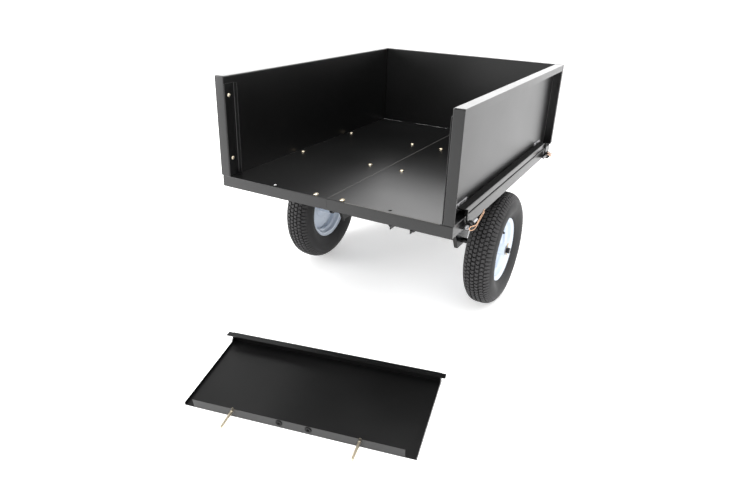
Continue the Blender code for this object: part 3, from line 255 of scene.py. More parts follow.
@dataclass(frozen=True)
class Finish:
    """A surface finish: a base colour, its second colour under dust or age, and its gloss."""

    name: str
    colour: Triple
    second: Triple
    roughness: tuple[float, float]
    metallic: float = 0.0
    grain: float = 600.0
    grain_depth: float = 0.00002
    dust_scale: float = 8.0
    coat: float = 0.0
    specular: float = 0.5
    wave: float = 2.6
    wave_depth: float = 0.0

    def material(self, groups: dict[str, Tree]) -> bpy.types.Material:
        """Builds the finish as a material on Object coordinates, from the shared groups."""
        material = bpy.data.materials.new(self.name)
        material.use_nodes = True
        wiring = Wiring(material.node_tree)
        place = wiring.add("ShaderNodeTexCoord", {}).outputs["Object"]
        layers = {}
        for word, scale in (("grain", self.grain), ("dust", self.dust_scale)):
            inputs = {"Vector": place, "Scale": scale}
            layer = wiring.add("ShaderNodeGroup", inputs, node_tree=groups[word])
            layers.update(layer.outputs.items())
        bump = {"Strength": 1.0, "Distance": self.grain_depth, "Height": layers["Height"]}
        if self.wave_depth:
            height = wiring.noise(place, self.wave, detail=1.0)
            waves = {"Strength": 1.0, "Distance": self.wave_depth, "Height": height}
            bump["Normal"] = wiring.add("ShaderNodeBump", waves).outputs["Normal"]
        shader = material.node_tree.nodes["Principled BSDF"]
        wiring.feed(shader, {
            "Base Color": self.base_colour(wiring, layers),
            "Roughness": wiring.spread(layers["Film"], *self.roughness, start=0.1, end=0.9),
            "Metallic": self.metallic,
            "Coat Weight": self.coat,
            "Specular IOR Level": self.specular,
            "Normal": wiring.add("ShaderNodeBump", bump).outputs["Normal"],
        })
        return material

    def base_colour(self, wiring: Wiring, layers: dict[str, Socket]) -> Socket:
        """Colours the surface by its film of dust.

        Args:
            wiring: the material's wiring.
            layers: the groups' values by name.
        """
        return wiring.blend(layers["Film"], self.colour, self.second)


@dataclass(frozen=True)
class PowderCoat(Finish):
    """A fine powder coat, a little paler in its pits, on sheet that is never quite flat."""

    pit_colour: Triple = (0.0045, 0.0045, 0.0047)
    pit_share: float = 0.25
    wave_depth: float = 0.0006

    def base_colour(self, wiring: Wiring, layers: dict[str, Socket]) -> Socket:
        """Colours the coat by its dust and its pits, with the same arguments."""
        share = wiring.product(layers["Pits"], self.pit_share)
        return wiring.blend(share, super().base_colour(wiring, layers), self.pit_colour)


@dataclass(frozen=True)
class MouldedRubber(Finish):
    """Tyre rubber: dark in the grooves, scuffed paler where the mesh says that it is raised."""

    scuff: Triple = (0.042, 0.041, 0.042)
    scuff_least: float = 0.55

    def base_colour(self, wiring: Wiring, layers: dict[str, Socket]) -> Socket:
        """Colours the rubber by its dust and the mesh's mask, with the same arguments."""
        raised = wiring.add("ShaderNodeAttribute", {}, attribute_name=SCUFFED).outputs["Fac"]
        uneven = wiring.spread(layers["Film"], self.scuff_least, 1.0, start=0.0, end=0.8)
        share = wiring.product(raised, uneven)
        return wiring.blend(share, super().base_colour(wiring, layers), self.scuff)


FINISHES = {
    Slot.BLACK_COAT: PowderCoat(
        "black powder coat", (0.0024, 0.0024, 0.0025), (0.0040, 0.0040, 0.0041), (0.27, 0.33),
        grain=650.0, grain_depth=0.000006, dust_scale=3.0,
    ),
    Slot.YELLOW_ZINC: Finish(
        "yellow zinc plate", (0.80, 0.74, 0.60), (0.74, 0.62, 0.44), (0.26, 0.38),
        metallic=1.0, grain=900.0, grain_depth=0.00001, dust_scale=60.0,
    ),
    Slot.BRIGHT_ZINC: Finish(
        "bright zinc plate", (0.42, 0.42, 0.43), (0.30, 0.30, 0.31), (0.32, 0.48),
        metallic=1.0, grain=900.0, grain_depth=0.00001, dust_scale=50.0,
    ),
    Slot.WHITE_PAINT: Finish(
        "white wheel paint", (0.68, 0.75, 0.84), (0.62, 0.69, 0.80), (0.24, 0.36),
        grain=260.0, dust_scale=14.0, coat=0.2,
    ),
    Slot.TYRE_RUBBER: MouldedRubber(
        "moulded tyre rubber", (0.009, 0.009, 0.0095), (0.017, 0.0168, 0.0172), (0.55, 0.72),
        grain=700.0, grain_depth=0.00004, dust_scale=20.0, specular=0.28,
    ),
    Slot.STEM_RUBBER: Finish(
        "smooth valve rubber", (0.003, 0.003, 0.0033), (0.007, 0.007, 0.007), (0.45, 0.6),
        grain=1200.0, dust_scale=80.0, specular=0.15,
    ),
    Slot.BRASS_COTTER: Finish(
        "brass cotter wire", (0.70, 0.55, 0.28), (0.52, 0.38, 0.18), (0.22, 0.4),
        metallic=1.0, grain=1200.0, dust_scale=90.0,
    ),
}
COPPER_WIRE = Finish(
    "coppery spring wire", (0.70, 0.46, 0.31), (0.50, 0.29, 0.18), (0.24, 0.38),
    metallic=1.0, grain=900.0, grain_depth=0.00001, dust_scale=70.0,
)
# A copy of the black coat with its reflection turned down, for the rail's level faces only: painted shade
# that keeps the rail's top dark.
RAIL_TOP_SHADE = Finish(
    "dull rail top", (0.0040, 0.0040, 0.0041), (0.0080, 0.0080, 0.0081), (0.75, 0.90),
    grain=650.0, grain_depth=0.000006, dust_scale=9.0, specular=0.15,
)
# A paler coat for the bed's raised folds: a painted highlight in place of the light that their rounded
# edges catch.
PAINTED_FOLD_HIGHLIGHT = Finish(
    "worn fold", (0.070, 0.068, 0.064), (0.130, 0.127, 0.122), (0.35, 0.50),
    grain=300.0, dust_scale=9.0,
)


class Paintbox:
    """Every finish's material, built once."""

    def __init__(self) -> None:
        """Builds the shared groups, a material for each slot and three for single pieces."""
        groups = {"grain": grain_group(), "dust": dust_group()}
        self.materials = {slot: finish.material(groups) for slot, finish in FINISHES.items()}
        self.copper = COPPER_WIRE.material(groups)
        self.rail_coat = RAIL_TOP_SHADE.material(groups)
        self.worn_edge = PAINTED_FOLD_HIGHLIGHT.material(groups)

    def paint(self, piece: Piece, slot: Slot) -> None:
        """Gives a piece the finish of one slot all over."""
        piece.data.materials.clear()
        piece.data.materials.append(self.materials[slot])


@dataclass(frozen=True)
class Stance:
    """Where the trailer, its bed's middle and its lifted-out tailgate stand."""

    tilt: float = 8.46872
    axle: Triple = (0.0, -0.098264, 0.200)
    middle: float = -0.006
    tailgate_aside: float = 0.084
    tailgate_behind: float = 0.863
    tailgate_turn: float = 10.8

    def trailer(self) -> Matrix:
        """The trailer's own frame, axle-centred and nose down, in the room."""
        return Matrix.Translation(self.axle) @ Matrix.Rotation(-math.radians(self.tilt), 4, "X")

    def mirrored(self, side: Side) -> Matrix:
        """The trailer's own frame on the right side, and its mirror image on the left."""
        return self.trailer() @ side.flip

    def ends(self) -> dict[str, Matrix]:
        """The turn from the bed's rear to each of its ends, in the trailer's own frame."""
        there = Matrix.Translation((0, 2 * self.middle, 0)) @ Matrix.Diagonal((1.0, -1.0, 1.0, 1.0))
        return {"rear": HERE, "front": there}

    def tailgate(self) -> Matrix:
        """The tailgate's own frame, lying behind the trailer."""
        place = Vector((self.tailgate_aside, self.axle[1] - self.tailgate_behind, 0.0))
        return Matrix.Translation(place) @ Matrix.Rotation(math.radians(self.tailgate_turn), 4, "Z")


STANCE = Stance()


def cleaned(bm: Shape) -> Shape:
    """Joins a shape's doubled points and turns its faces outwards."""
    bmesh.ops.remove_doubles(bm, verts=bm.verts, dist=JOIN)
    bmesh.ops.recalc_face_normals(bm, faces=bm.faces)
    return bm


def cut_back(bm: Shape, edges: list[bmesh.types.BMEdge], width: float, segments: int = 1) -> None:
    """Cuts edges back by a width, with so many faces across each one."""
    bmesh.ops.bevel(
        bm, geom=edges, offset=width, affect="EDGES", segments=segments, profile=0.5, material=-1,
    )


def put_together(target: Shape, shape: Shape) -> Shape:
    """Moves a shape into another one, as a closed shell of its own, and frees it."""
    carrier = bpy.data.meshes.new("carrier")
    shape.to_mesh(carrier)
    shape.free()
    target.from_mesh(carrier)
    bpy.data.meshes.remove(carrier)
    return target


def lathe(profile: Profile | Rows, steps: int, closed: bool = False, turn: Matrix = HERE) -> Shape:
    """Spins a profile of (radius, across) points about the X axis.

    Args:
        profile: the outline's points, from one end to the other.
        steps: faces round the axis.
        closed: whether the outline closes on itself.
        turn: how the shape is turned or moved afterwards.
    """
    bm = bmesh.new()
    points = [bm.verts.new((across, 0.0, radius)) for radius, across in profile]
    following = points[1:] + points[:1] if closed else points[1:]
    for pair in zip(points, following):
        bm.edges.new(pair)
    bmesh.ops.spin(
        bm, geom=list(bm.verts) + list(bm.edges), cent=(0, 0, 0), axis=(1, 0, 0),
        angle=math.tau, steps=steps, use_merge=True,
    )
    bm.transform(turn)
    return cleaned(bm)


def bent_wire(points: list[Triple], diameter: float) -> Shape:
    """Bends round wire of a diameter along a smooth line close to the points, with closed ends."""
    data = bpy.data.curves.new("wire", "CURVE")
    data.dimensions = "3D"
    data.bevel_depth = diameter / 2
    data.bevel_resolution = 3
    data.resolution_u = 6
    data.use_fill_caps = True
    spline = data.splines.new("NURBS")
    spline.points.add(len(points) - 1)
    for point, place in zip(spline.points, points):
        point.co = (*place, 1.0)
    spline.order_u = 3
    spline.use_endpoint_u = True
    maker = bpy.data.objects.new("wire", data)
    bpy.context.scene.collection.objects.link(maker)
    bpy.context.view_layer.update()
    mesh = bpy.data.meshes.new_from_object(maker.evaluated_get(bpy.context.evaluated_depsgraph_get()))
    bm = bmesh.new()
    bm.from_mesh(mesh)
    bpy.data.objects.remove(maker)
    bpy.data.curves.remove(data)
    bpy.data.meshes.remove(mesh)
    return cleaned(bm)


def finished(name: str, bm: Shape) -> Piece:
    """Makes an object of a shape, at the origin and shaded smooth, and frees the shape."""
    mesh = bpy.data.meshes.new(name)
    for face in bm.faces:
        face.smooth = True
    bm.to_mesh(mesh)
    bm.free()
    piece = bpy.data.objects.new(name, mesh)
    bpy.context.scene.collection.objects.link(piece)
    return piece


@dataclass
class Dressing:
    """Something that dresses the model with finished pieces."""

    paintbox: Paintbox

    def fit(
        self, name: str, bm: Shape, place: Matrix, slot: Slot, body: str, *nodes: str,
        sheet: float = 0.0, edge: float = 0.0,
    ) -> Piece:
        """Puts a shape in its place as a finished piece.

        Args:
            name: the piece's name.
            bm: its shape, which is freed.
            place: where it goes in the room.
            slot: the finish that it takes.
            body: the body that it rides on.
            nodes: the CAD nodes that it replaces.
            sheet: how thick a bare surface gets.
            edge: how far sharp edges are cut back.
        """
        bm.transform(place)
        if place.determinant() < 0:
            bmesh.ops.reverse_faces(bm, faces=bm.faces)
        piece = finished(name, bm)
        if sheet:
            wall = piece.modifiers.new("sheet", "SOLIDIFY")
            wall.thickness = sheet
            wall.offset = 0.0
        if edge:
            bevel = piece.modifiers.new("rounded edges", "BEVEL")
            bevel.width = edge
            bevel.segments = 2
            bevel.limit_method = "ANGLE"
            bevel.angle_limit = SHARP_ANGLE
        piece.modifiers.new("even shading", "WEIGHTED_NORMAL").keep_sharp = True
        self.paintbox.paint(piece, slot)
        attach(piece, body)
        for node in nodes:
            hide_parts(node)
        LOG.info("fitted %s", name)
        return piece


@dataclass
class PressedSheet(Dressing):
    """The trailer's folded sheet and bar pieces: the CAD shapes with their cut edges rounded."""

    edge: float = 0.0009
    flat: float = 0.3
    feet: tuple[tuple[str, float, float], ...] = (
        ("front_wall", 0.2700, 0.0048), ("side_wall", 0.2690, 0.0028), ("tailgate_guide", 0.2690, 0.0024),
    )
    foot_band: float = 0.0006

    def build(self) -> None:
        """Copies each formed node, cleans it, lets its foot down to a thin slit and rounds its edges."""
        tilted = STANCE.trailer()
        level = tilted.inverted()
        for node in FORMED_NODES:
            cad = frame["nodes"][node]
            bm = bmesh.new()
            bm.from_mesh(cad.data)
            bmesh.ops.remove_doubles(bm, verts=bm.verts, dist=JOIN)
            bmesh.ops.dissolve_limit(
                bm, angle_limit=math.radians(self.flat), use_dissolve_boundaries=False,
                verts=bm.verts, edges=bm.edges, delimit=set(),
            )
            for word, foot, drop in self.feet:
                if node.endswith(word):
                    lowest = [vert for vert in bm.verts if abs((level @ vert.co).z - foot) < self.foot_band]
                    down = tilted.to_3x3() @ Vector((0.0, 0.0, -drop))
                    bmesh.ops.translate(bm, vec=down, verts=lowest)
            self.fit(f"{node}_formed", bm, HERE, slot_of_node(node), cad["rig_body"], node, edge=self.edge)


@dataclass
class DomeBolt:
    """A dome-head bolt with its nut and a stub of thread, standing on the Z axis."""

    head: float = 0.008
    rise: float = 0.0045
    brim: float = 0.0004
    shank: float = 0.004
    grip: float = 0.0059
    nut: float = 0.0125
    nut_height: float = 0.0065
    nut_edge: float = 0.0005
    stub: float = 0.004
    pitch: float = 0.00125
    root_share: float = 0.86
    tip_share: float = 0.8
    steps: int = 24
    dome_steps: int = 6

    def outline(self) -> Profile:
        """The bolt's half section, from the crown to the end of its thread."""
        turns = [math.pi / 2 * step / self.dome_steps for step in range(self.dome_steps + 1)]
        dome = [(self.head * math.sin(turn), self.rise * math.cos(turn) + self.brim) for turn in turns]
        low = -self.grip - self.nut_height
        thread = []
        for ridge in range(int(self.stub / self.pitch)):
            top = low - ridge * self.pitch
            thread += [(self.shank, top), (self.shank * self.root_share, top - self.pitch / 2)]
        tip = [(self.shank * self.tip_share, low - self.stub), (0.0, low - self.stub)]
        return dome + [(self.head, 0.0), (self.shank, 0.0)] + thread + tip

    def shape(self) -> Shape:
        """The bolt and its nut, with the underside of the head at the origin."""
        bolt = lathe(self.outline(), self.steps, turn=TO_Z)
        nut = bmesh.new()
        corner = self.nut / 2 / math.cos(math.pi / 6)
        bmesh.ops.create_cone(
            nut, cap_ends=True, segments=6, radius1=corner, radius2=corner, depth=self.nut_height,
        )
        cut_back(nut, list(nut.edges), self.nut_edge)
        bmesh.ops.translate(nut, vec=(0, 0, -self.grip - self.nut_height / 2), verts=nut.verts)
        return put_together(bolt, nut)


FLOOR_BOLT = DomeBolt()
GUIDE_BOLT = DomeBolt(
    head=0.006, rise=0.0036, shank=0.003, grip=0.0045, nut=0.010, nut_height=0.005, stub=0.003,
)
GUSSET_BOLT = DomeBolt(
    head=0.005, rise=0.003, shank=0.0025, grip=0.0025, nut=0.008, nut_height=0.004, stub=0.002,
)


@dataclass
class BedBolts(Dressing):
    """Ten bolts that hold the floor, and two in each side wall that hold the tailgate's guide."""

    rear: float = -0.526
    top: float = 0.2663
    pairs: Rows = ((0.045, 0.013), (0.060, 0.365), (0.060, 0.700), (0.341, 0.369), (0.341, 0.711))
    face: float = 0.3577
    behind: float = -0.509
    heights: tuple[tuple[str, float], ...] = (("lower", 0.323), ("upper", 0.515))

    def build(self) -> None:
        """Fits the floor's bolts in the places of their nodes, then the walls' bolts."""
        spots = [(side.value * out, ahead) for out, ahead in self.pairs for side in Side]
        for number, (out, ahead) in enumerate(spots, 1):
            place = STANCE.trailer() @ Matrix.Translation((out, self.rear + ahead, self.top))
            name = f"coach_bolt_{number:02d}"
            self.fit(name, FLOOR_BOLT.shape(), place, Slot.YELLOW_ZINC, "bed", f"floor_bolt_{number:02d}")
        for side in Side:
            for word, height in self.heights:
                spot = Matrix.Translation((self.face, self.behind, height)) @ TO_Z
                place = STANCE.mirrored(side) @ spot
                name = f"{side.word}_{word}_guide_bolt"
                self.fit(name, GUIDE_BOLT.shape(), place, Slot.YELLOW_ZINC, f"{side.word}_side")


@dataclass
class SidePins(Dressing):
    """The four hinge pins of the side walls, each kept by a sprung wire bail.

    The pin's line gives radii and places along it from its collar's rear face. The bail's line
    gives X, Y, the height midway between its two wires and how far each one is from there.
    """

    place: Triple = (0.404, -0.456, 0.244)
    pin_line: Rows = (
        (0.0, 0.078), (0.0033, 0.078), (0.0047, 0.0752), (0.0047, 0.006), (0.0062, 0.006), (0.007, 0.0052),
        (0.007, 0.0008), (0.0062, 0.0), (0.00315, 0.0), (0.00245, 0.0008), (0.0, 0.0008),
    )
    steps: int = 28
    wire: float = 0.0032
    collar_middle: float = 0.003
    bend: Triple = (0.0070, -0.0055, 0.0)
    bail_line: Rows = (
        (0.0150, 0.0880, 0.0240, 0.0040), (0.0160, 0.0740, 0.0205, 0.0042),
        (0.0165, 0.0550, 0.0140, 0.0036), (0.0165, 0.0400, 0.0080, 0.0024),
        (0.0165, 0.0290, 0.0020, 0.0026), (0.0160, 0.0200, -0.0010, 0.0036),
        (0.0150, 0.0110, -0.0010, 0.0050), (0.0130, 0.0000, 0.0, 0.0062),
        (0.0095, -0.0050, 0.0, 0.0046),
    )

    def bail(self) -> Shape:
        """A sprung bail: a loop held by its pin's collar, a waist, and two open prongs."""
        upper = [(x, y, middle + half) for x, y, middle, half in self.bail_line]
        lower = [(x, y, middle - half) for x, y, middle, half in reversed(self.bail_line)]
        return bent_wire(upper + [self.bend] + lower, self.wire)

    def build(self) -> None:
        """Fits the pins and bails at both ends of both sides."""
        collar = Matrix.Translation((0, self.collar_middle, 0))
        for side in Side:
            for end, turn in STANCE.ends().items():
                name = f"{side.word}_{end}"
                place = STANCE.mirrored(side) @ turn @ Matrix.Translation(self.place)
                pin = lathe(self.pin_line, self.steps, turn=TO_Y)
                self.fit(f"{name}_hinge_pin", pin, place, Slot.BRIGHT_ZINC, "bed", f"{name}_pin")
                bail = self.fit(
                    f"{name}_spring_bail", self.bail(), place @ collar,
                    Slot.YELLOW_ZINC, f"{name}_bail_body", f"{name}_bail",
                )
                bail.data.materials[0] = self.paintbox.copper


@dataclass
class HingeRail(Dressing):
    """A side wall's rail: a folded channel along its foot, two hinge lugs and two leaf strips."""

    side: Side
    ends: tuple[float, float] = (-0.437, 0.425)
    wall_side: float = 0.3633
    lip: float = 0.3880
    foot: float = 0.2710
    top: float = 0.2870
    lip_foot: float = 0.2704
    sheet: float = 0.0020
    bend: float = 0.0022
    edge: float = 0.0006
    level_face: float = 0.8
    hinge: tuple[float, float] = (0.404, 0.244)
    eye: float = 0.011
    eye_steps: int = 16
    bore: float = 0.005
    bore_steps: int = 24
    plate: float = 0.003
    lug_edge: float = 0.0005
    arm: tuple[float, float] = (-0.0127, -0.0075)
    shelf: tuple[float, float] = (-0.0165, 0.0245)
    strip_start: float = -0.444
    strip_size: Triple = (0.0030, 0.080, 0.0105)
    strip_edge: float = 0.0009
    strip_gap: float = 0.0003
    rivet_shares: tuple[float, float] = (-0.32, 0.32)
    rivet_line: Rows = ((0.0, 0.0014), (0.0016, 0.0012), (0.0028, 0.0005), (0.0031, -0.0004))
    rivet_steps: int = 16

    def channel(self) -> Shape:
        """The channel's middle surface, with rounded folds."""
        bm = bmesh.new()
        start, end = self.ends
        level = self.top - self.sheet / 2
        section = (
            (self.wall_side, self.foot), (self.wall_side, level),
            (self.lip, level), (self.lip, self.lip_foot),
        )
        points = [bm.verts.new((x, start, z)) for x, z in section]
        edges = [bm.edges.new(pair) for pair in zip(points, points[1:])]
        made = bmesh.ops.extrude_edge_only(bm, edges=edges)["geom"]
        far = [item for item in made if isinstance(item, bmesh.types.BMVert)]
        bmesh.ops.translate(bm, vec=(0, end - start, 0), verts=far)
        cut_back(bm, [edge for edge in bm.edges if len(edge.link_faces) == 2], self.bend, segments=3)
        return cleaned(bm)

    def lug(self) -> Shape:
        """A lug's plate, bored for the pin, about the hinge's axis."""
        back, face = self.arm
        rise = self.top - self.hinge[1]
        sweep = math.pi + math.acos(face / self.eye)
        turns = [math.pi + sweep * step / self.eye_steps for step in range(self.eye_steps + 1)]
        outline = [(self.eye * math.cos(turn), self.eye * math.sin(turn)) for turn in turns]
        outline += [(face, rise), (self.shelf[0], rise), self.shelf, (back, self.shelf[1]), (back, 0.0)]
        bm = bmesh.new()
        points = [bm.verts.new((x, 0.0, z)) for x, z in outline]
        edges = [bm.edges.new(pair) for pair in zip(points, points[1:] + points[:1])]
        hole = bmesh.ops.create_circle(bm, segments=self.bore_steps, radius=self.bore)["verts"]
        bmesh.ops.rotate(bm, cent=(0, 0, 0), matrix=Matrix.Rotation(math.pi / 2, 3, "X"), verts=hole)
        edges += list({edge for vert in hole for edge in vert.link_edges})
        bmesh.ops.triangle_fill(bm, use_beauty=True, edges=edges)
        made = bmesh.ops.extrude_face_region(bm, geom=list(bm.faces))["geom"]
        far = [item for item in made if isinstance(item, bmesh.types.BMVert)]
        bmesh.ops.translate(bm, vec=(0, self.plate, 0), verts=far)
        return cleaned(bm)

    def strip(self) -> Shape:
        """A leaf strip, riveted flat on the wall above the rail."""
        thick, long, high = self.strip_size
        bm = bmesh.new()
        bmesh.ops.create_cube(bm, size=1.0)
        bmesh.ops.scale(bm, vec=self.strip_size, verts=bm.verts)
        cut_back(bm, list(bm.edges), self.strip_edge, segments=2)
        for share in self.rivet_shares:
            rivet = lathe(self.rivet_line, self.rivet_steps)
            bmesh.ops.translate(rivet, vec=(thick / 2, share * long, 0), verts=rivet.verts)
            put_together(bm, rivet)
        wall = self.wall_side - self.sheet / 2
        place = (wall + thick / 2, self.strip_start + long / 2, self.top + self.strip_gap + high / 2)
        bmesh.ops.translate(bm, vec=place, verts=bm.verts)
        return bm

    def build(self) -> None:
        """Fits the rail with a painted shade on its level faces, and its lugs and strips."""
        word = self.side.word
        body = f"{word}_side"
        home = STANCE.mirrored(self.side)
        rail = self.fit(
            f"{word}_channel_rail", self.channel(), home, Slot.BLACK_COAT, body, f"{word}_hinge_rail",
            sheet=self.sheet, edge=self.edge,
        )
        rail.data.materials.append(self.paintbox.rail_coat)
        # Level faces take the painted-shade copy of the coat.
        for face in rail.data.polygons:
            if abs(face.normal.z) > self.level_face:
                face.material_index = 1
        at_lug = Matrix.Translation((self.hinge[0], self.ends[0], self.hinge[1]))
        for end, turn in STANCE.ends().items():
            self.fit(
                f"{word}_{end}_rail_lug", self.lug(), home @ turn @ at_lug, Slot.BLACK_COAT, body,
                edge=self.lug_edge,
            )
            self.fit(f"{word}_{end}_leaf_strip", self.strip(), home @ turn, Slot.BRIGHT_ZINC, body)


@dataclass
class WornFolds(Dressing):
    """The bed's raised folds with a painted highlight: the seam between its pans and the right pan's rear
    fold.
    """

    seam_x: float = 0.0006
    seam: Triple = (-0.523, 0.0, 0.508)
    seam_up: float = 0.2658
    rear: Triple = (0.060, 0.206, 0.352)
    rear_y: float = -0.5252
    rear_up: float = 0.2656
    wire: float = 0.0019

    def build(self) -> None:
        """Lays the folds on the bed."""
        lines = {
            "floor_seam_fold": [(self.seam_x, y, self.seam_up) for y in self.seam],
            "right_pan_rear_fold": [(x, self.rear_y, self.rear_up) for x in self.rear],
        }
        for name, line in lines.items():
            fold = self.fit(name, bent_wire(line, self.wire), STANCE.trailer(), Slot.BLACK_COAT, "bed")
            # The paler coat is a painted highlight along the fold.
            fold.data.materials[0] = self.paintbox.worn_edge


@dataclass
class TailgateFittings(Dressing):
    """The tailgate's two drop pins, its two rubber grommets and the bolts of its corner gussets.

    The pin's and the grommet's lines give radii and places along Y from the foot flange.
    """

    up: float = 0.019
    pin_out: float = 0.197
    pin_line: Rows = (
        (0.0, 0.0093), (0.0045, 0.0093), (0.006375, 0.0087), (0.0075, 0.0071), (0.0075, 0.0033),
        (0.0065, 0.0023), (0.0045, 0.0023), (0.0045, -0.0020), (0.0041, -0.0026), (0.0041, -0.0040),
        (0.0045, -0.0046), (0.0045, -0.0605), (0.003375, -0.0640), (0.002025, -0.0650), (0.0, -0.0650),
    )
    grommet_out: float = 0.045
    grommet_line: Rows = (
        (0.0040, 0.0042), (0.0096, 0.0042), (0.0108, 0.00332), (0.0108, 0.0022), (0.0054, 0.0022),
        (0.0054, -0.0002), (0.0108, -0.0002), (0.0108, -0.0010), (0.0096, -0.0022), (0.0040, -0.0022),
    )
    gusset: Triple = (0.336, 0.3025, 0.024)
    steps: int = 28

    def build(self) -> None:
        """Fits the pins, the grommets and the gusset bolts."""
        home = STANCE.tailgate()
        inwards = Matrix.Rotation(math.pi / 2, 4, "X")
        out, up, off = self.gusset
        for side in Side:
            word = side.word
            place = home @ Matrix.Translation((side.value * self.pin_out, 0, self.up))
            pin = lathe(self.pin_line, self.steps, turn=TO_Y)
            self.fit(f"{word}_tailgate_pin", pin, place, Slot.YELLOW_ZINC, "tailgate", f"{word}_drop_pin")
            place = home @ Matrix.Translation((side.value * self.grommet_out, 0, self.up))
            grommet = lathe(self.grommet_line, self.steps, closed=True, turn=TO_Y)
            self.fit(f"{word}_flange_grommet", grommet, place, Slot.STEM_RUBBER, "tailgate")
            place = home @ Matrix.Translation((side.value * out, up, off)) @ inwards
            self.fit(f"{word}_gusset_bolt", GUSSET_BOLT.shape(), place, Slot.BRIGHT_ZINC, "tailgate")


@dataclass
class WheelPart(Dressing):
    """A part of one wheel, built about the wheel's middle."""

    side: Side
    centre: Vector

    def mount(self, name: str, bm: Shape, turn: Matrix, slot: Slot, node: str) -> None:
        """Fits a shape to the wheel for a node; both names follow the side's word."""
        word = self.side.word
        place = Matrix.Translation(self.centre) @ turn
        self.fit(f"{word}_{name}", bm, place, slot, f"{word}_wheel", f"{word}_{node}")


@dataclass
class PneumaticTyre(WheelPart):
    """A tyre with smooth sidewalls and a tread of small zigzag blocks in rows.

    Its section's lines are offsets: the bead's from the rim's edge and the bead's foot, the
    wall's from the rim's edge and the half width, the shoulder's from the radius and the half width.
    """

    outer: float
    half_width: float
    rim_radius: float = 0.1125
    bead: float = 0.0268
    bead_line: Rows = ((-0.0100, 0.0), (-0.0010, 0.0030), (0.0015, 0.0075), (0.0040, 0.0097))
    wall_line: Rows = (
        (0.0070, -0.0145), (0.0085, -0.0120), (0.0130, -0.0112), (0.0150, -0.0092),
        (0.0250, -0.0038), (0.0330, -0.0012), (0.0400, 0.0),
    )
    shoulder_line: Rows = ((-0.0395, -0.0003), (-0.0310, -0.0022), (-0.0285, -0.0040), (-0.0220, -0.0075))
    floor_shares: tuple[float, ...] = (0.72, 0.58, 0.42, 0.2)
    groove: float = 0.0052
    crown_drop: float = 0.034
    crown_power: float = 3.2
    pitches: int = 84
    block_share: float = 0.70
    block_edge: float = 0.0005
    foot_normal: float = -0.9
    top_normal: float = 0.6
    sharp: float = 0.7
    tread_gap: float = 0.006
    rows: Rows = (
        (-0.82, 0.160, -0.03), (-0.49, 0.120, 0.09), (-0.165, 0.120, -0.09),
        (0.165, 0.120, -0.09), (0.49, 0.120, 0.09), (0.82, 0.160, -0.03),
    )
    top_band: float = 0.0011
    wall_band: float = 0.020
    wall_scuff: float = 0.55
    steps: int = 96

    def carcass_side(self) -> Profile:
        """One side of the section, from the bead to the tread's middle."""
        half = self.half_width
        bead = [(self.rim_radius + up, self.bead + out) for up, out in self.bead_line]
        wall = [(self.rim_radius + up, half + out) for up, out in self.wall_line]
        shoulder = [(self.outer + up, half + out) for up, out in self.shoulder_line]
        floor = [(self.crown(share * half) - self.groove, share * half) for share in self.floor_shares]
        return bead + wall + shoulder + floor

    def crown(self, across: float) -> float:
        """The radius of the blocks' tops at a distance from the tyre's middle plane."""
        share = abs(across) / self.half_width
        return self.outer - self.crown_drop * share**self.crown_power

    def scuff_at(self, place: Vector) -> float:
        """How scuffed the rubber is: the blocks' tops most, the sidewalls a little."""
        radius = math.hypot(place.y, place.z)
        if radius > self.crown(place.x) - self.top_band:
            return 1.0
        return self.wall_scuff if radius < self.outer - self.wall_band else 0.0

    def build(self) -> None:
        """Builds the tyre and lets it stand for its node."""
        side = self.carcass_side()
        section = side + [(radius, -across) for radius, across in reversed(side)]
        bm = lathe(section, self.steps, closed=True)
        for number, row in enumerate(self.rows):
            put_together(bm, self.tread_row(number, *row))
        scuffed = bm.verts.layers.float.new(SCUFFED)
        for vert in bm.verts:
            vert[scuffed] = self.scuff_at(vert.co)
        self.mount("treaded_tyre", bm, HERE, Slot.TYRE_RUBBER, "tyre")

    def tread_row(self, number: int, row: float, half: float, lean: float) -> Shape:
        """One row of zigzag blocks all round the tyre, each open at its foot.

        Args:
            number: which row it is, from the left.
            row: the row's middle, as a share of the tread's half width.
            half: half the row's width, as a share of the tread's half width.
            lean: how far its blocks zigzag, as a share of their pitch.
        """
        reach = self.half_width - self.tread_gap
        angle = math.tau / self.pitches
        pitch = self.outer * angle
        bm = bmesh.new()
        bmesh.ops.create_cube(bm, size=1.0)
        size = (2 * half * reach, pitch * self.block_share, 2 * self.groove)
        bmesh.ops.scale(bm, vec=size, verts=bm.verts)
        everything = list(bm.verts) + list(bm.edges) + list(bm.faces)
        bmesh.ops.bisect_plane(bm, geom=everything, plane_co=(0, 0, 0), plane_no=(1, 0, 0))
        for vert in bm.verts:
            vert.co.y += pitch * (lean if abs(vert.co.x) < half * reach / 2 else -lean)
            vert.co.x += row * reach
            vert.co.z += self.crown(vert.co.x) - self.groove
        feet = [face for face in bm.faces if face.normal.z < self.foot_normal]
        bmesh.ops.delete(bm, geom=feet, context="FACES")
        bm.normal_update()
        tops = [face for face in bm.faces if face.normal.z > self.top_normal]
        rim = {edge for face in tops for edge in face.edges if edge.calc_face_angle(0.0) > self.sharp}
        cut_back(bm, list(rim), self.block_edge)
        turn = Matrix.Rotation(angle * (number % 2) / 2, 3, "X")
        bmesh.ops.rotate(bm, cent=(0, 0, 0), matrix=turn, verts=bm.verts)
        bmesh.ops.spin(
            bm, geom=list(bm.verts) + list(bm.edges) + list(bm.faces), cent=(0, 0, 0), axis=(1, 0, 0),
            angle=math.tau - angle, steps=self.pitches - 1, use_duplicate=True,
        )
        return bm


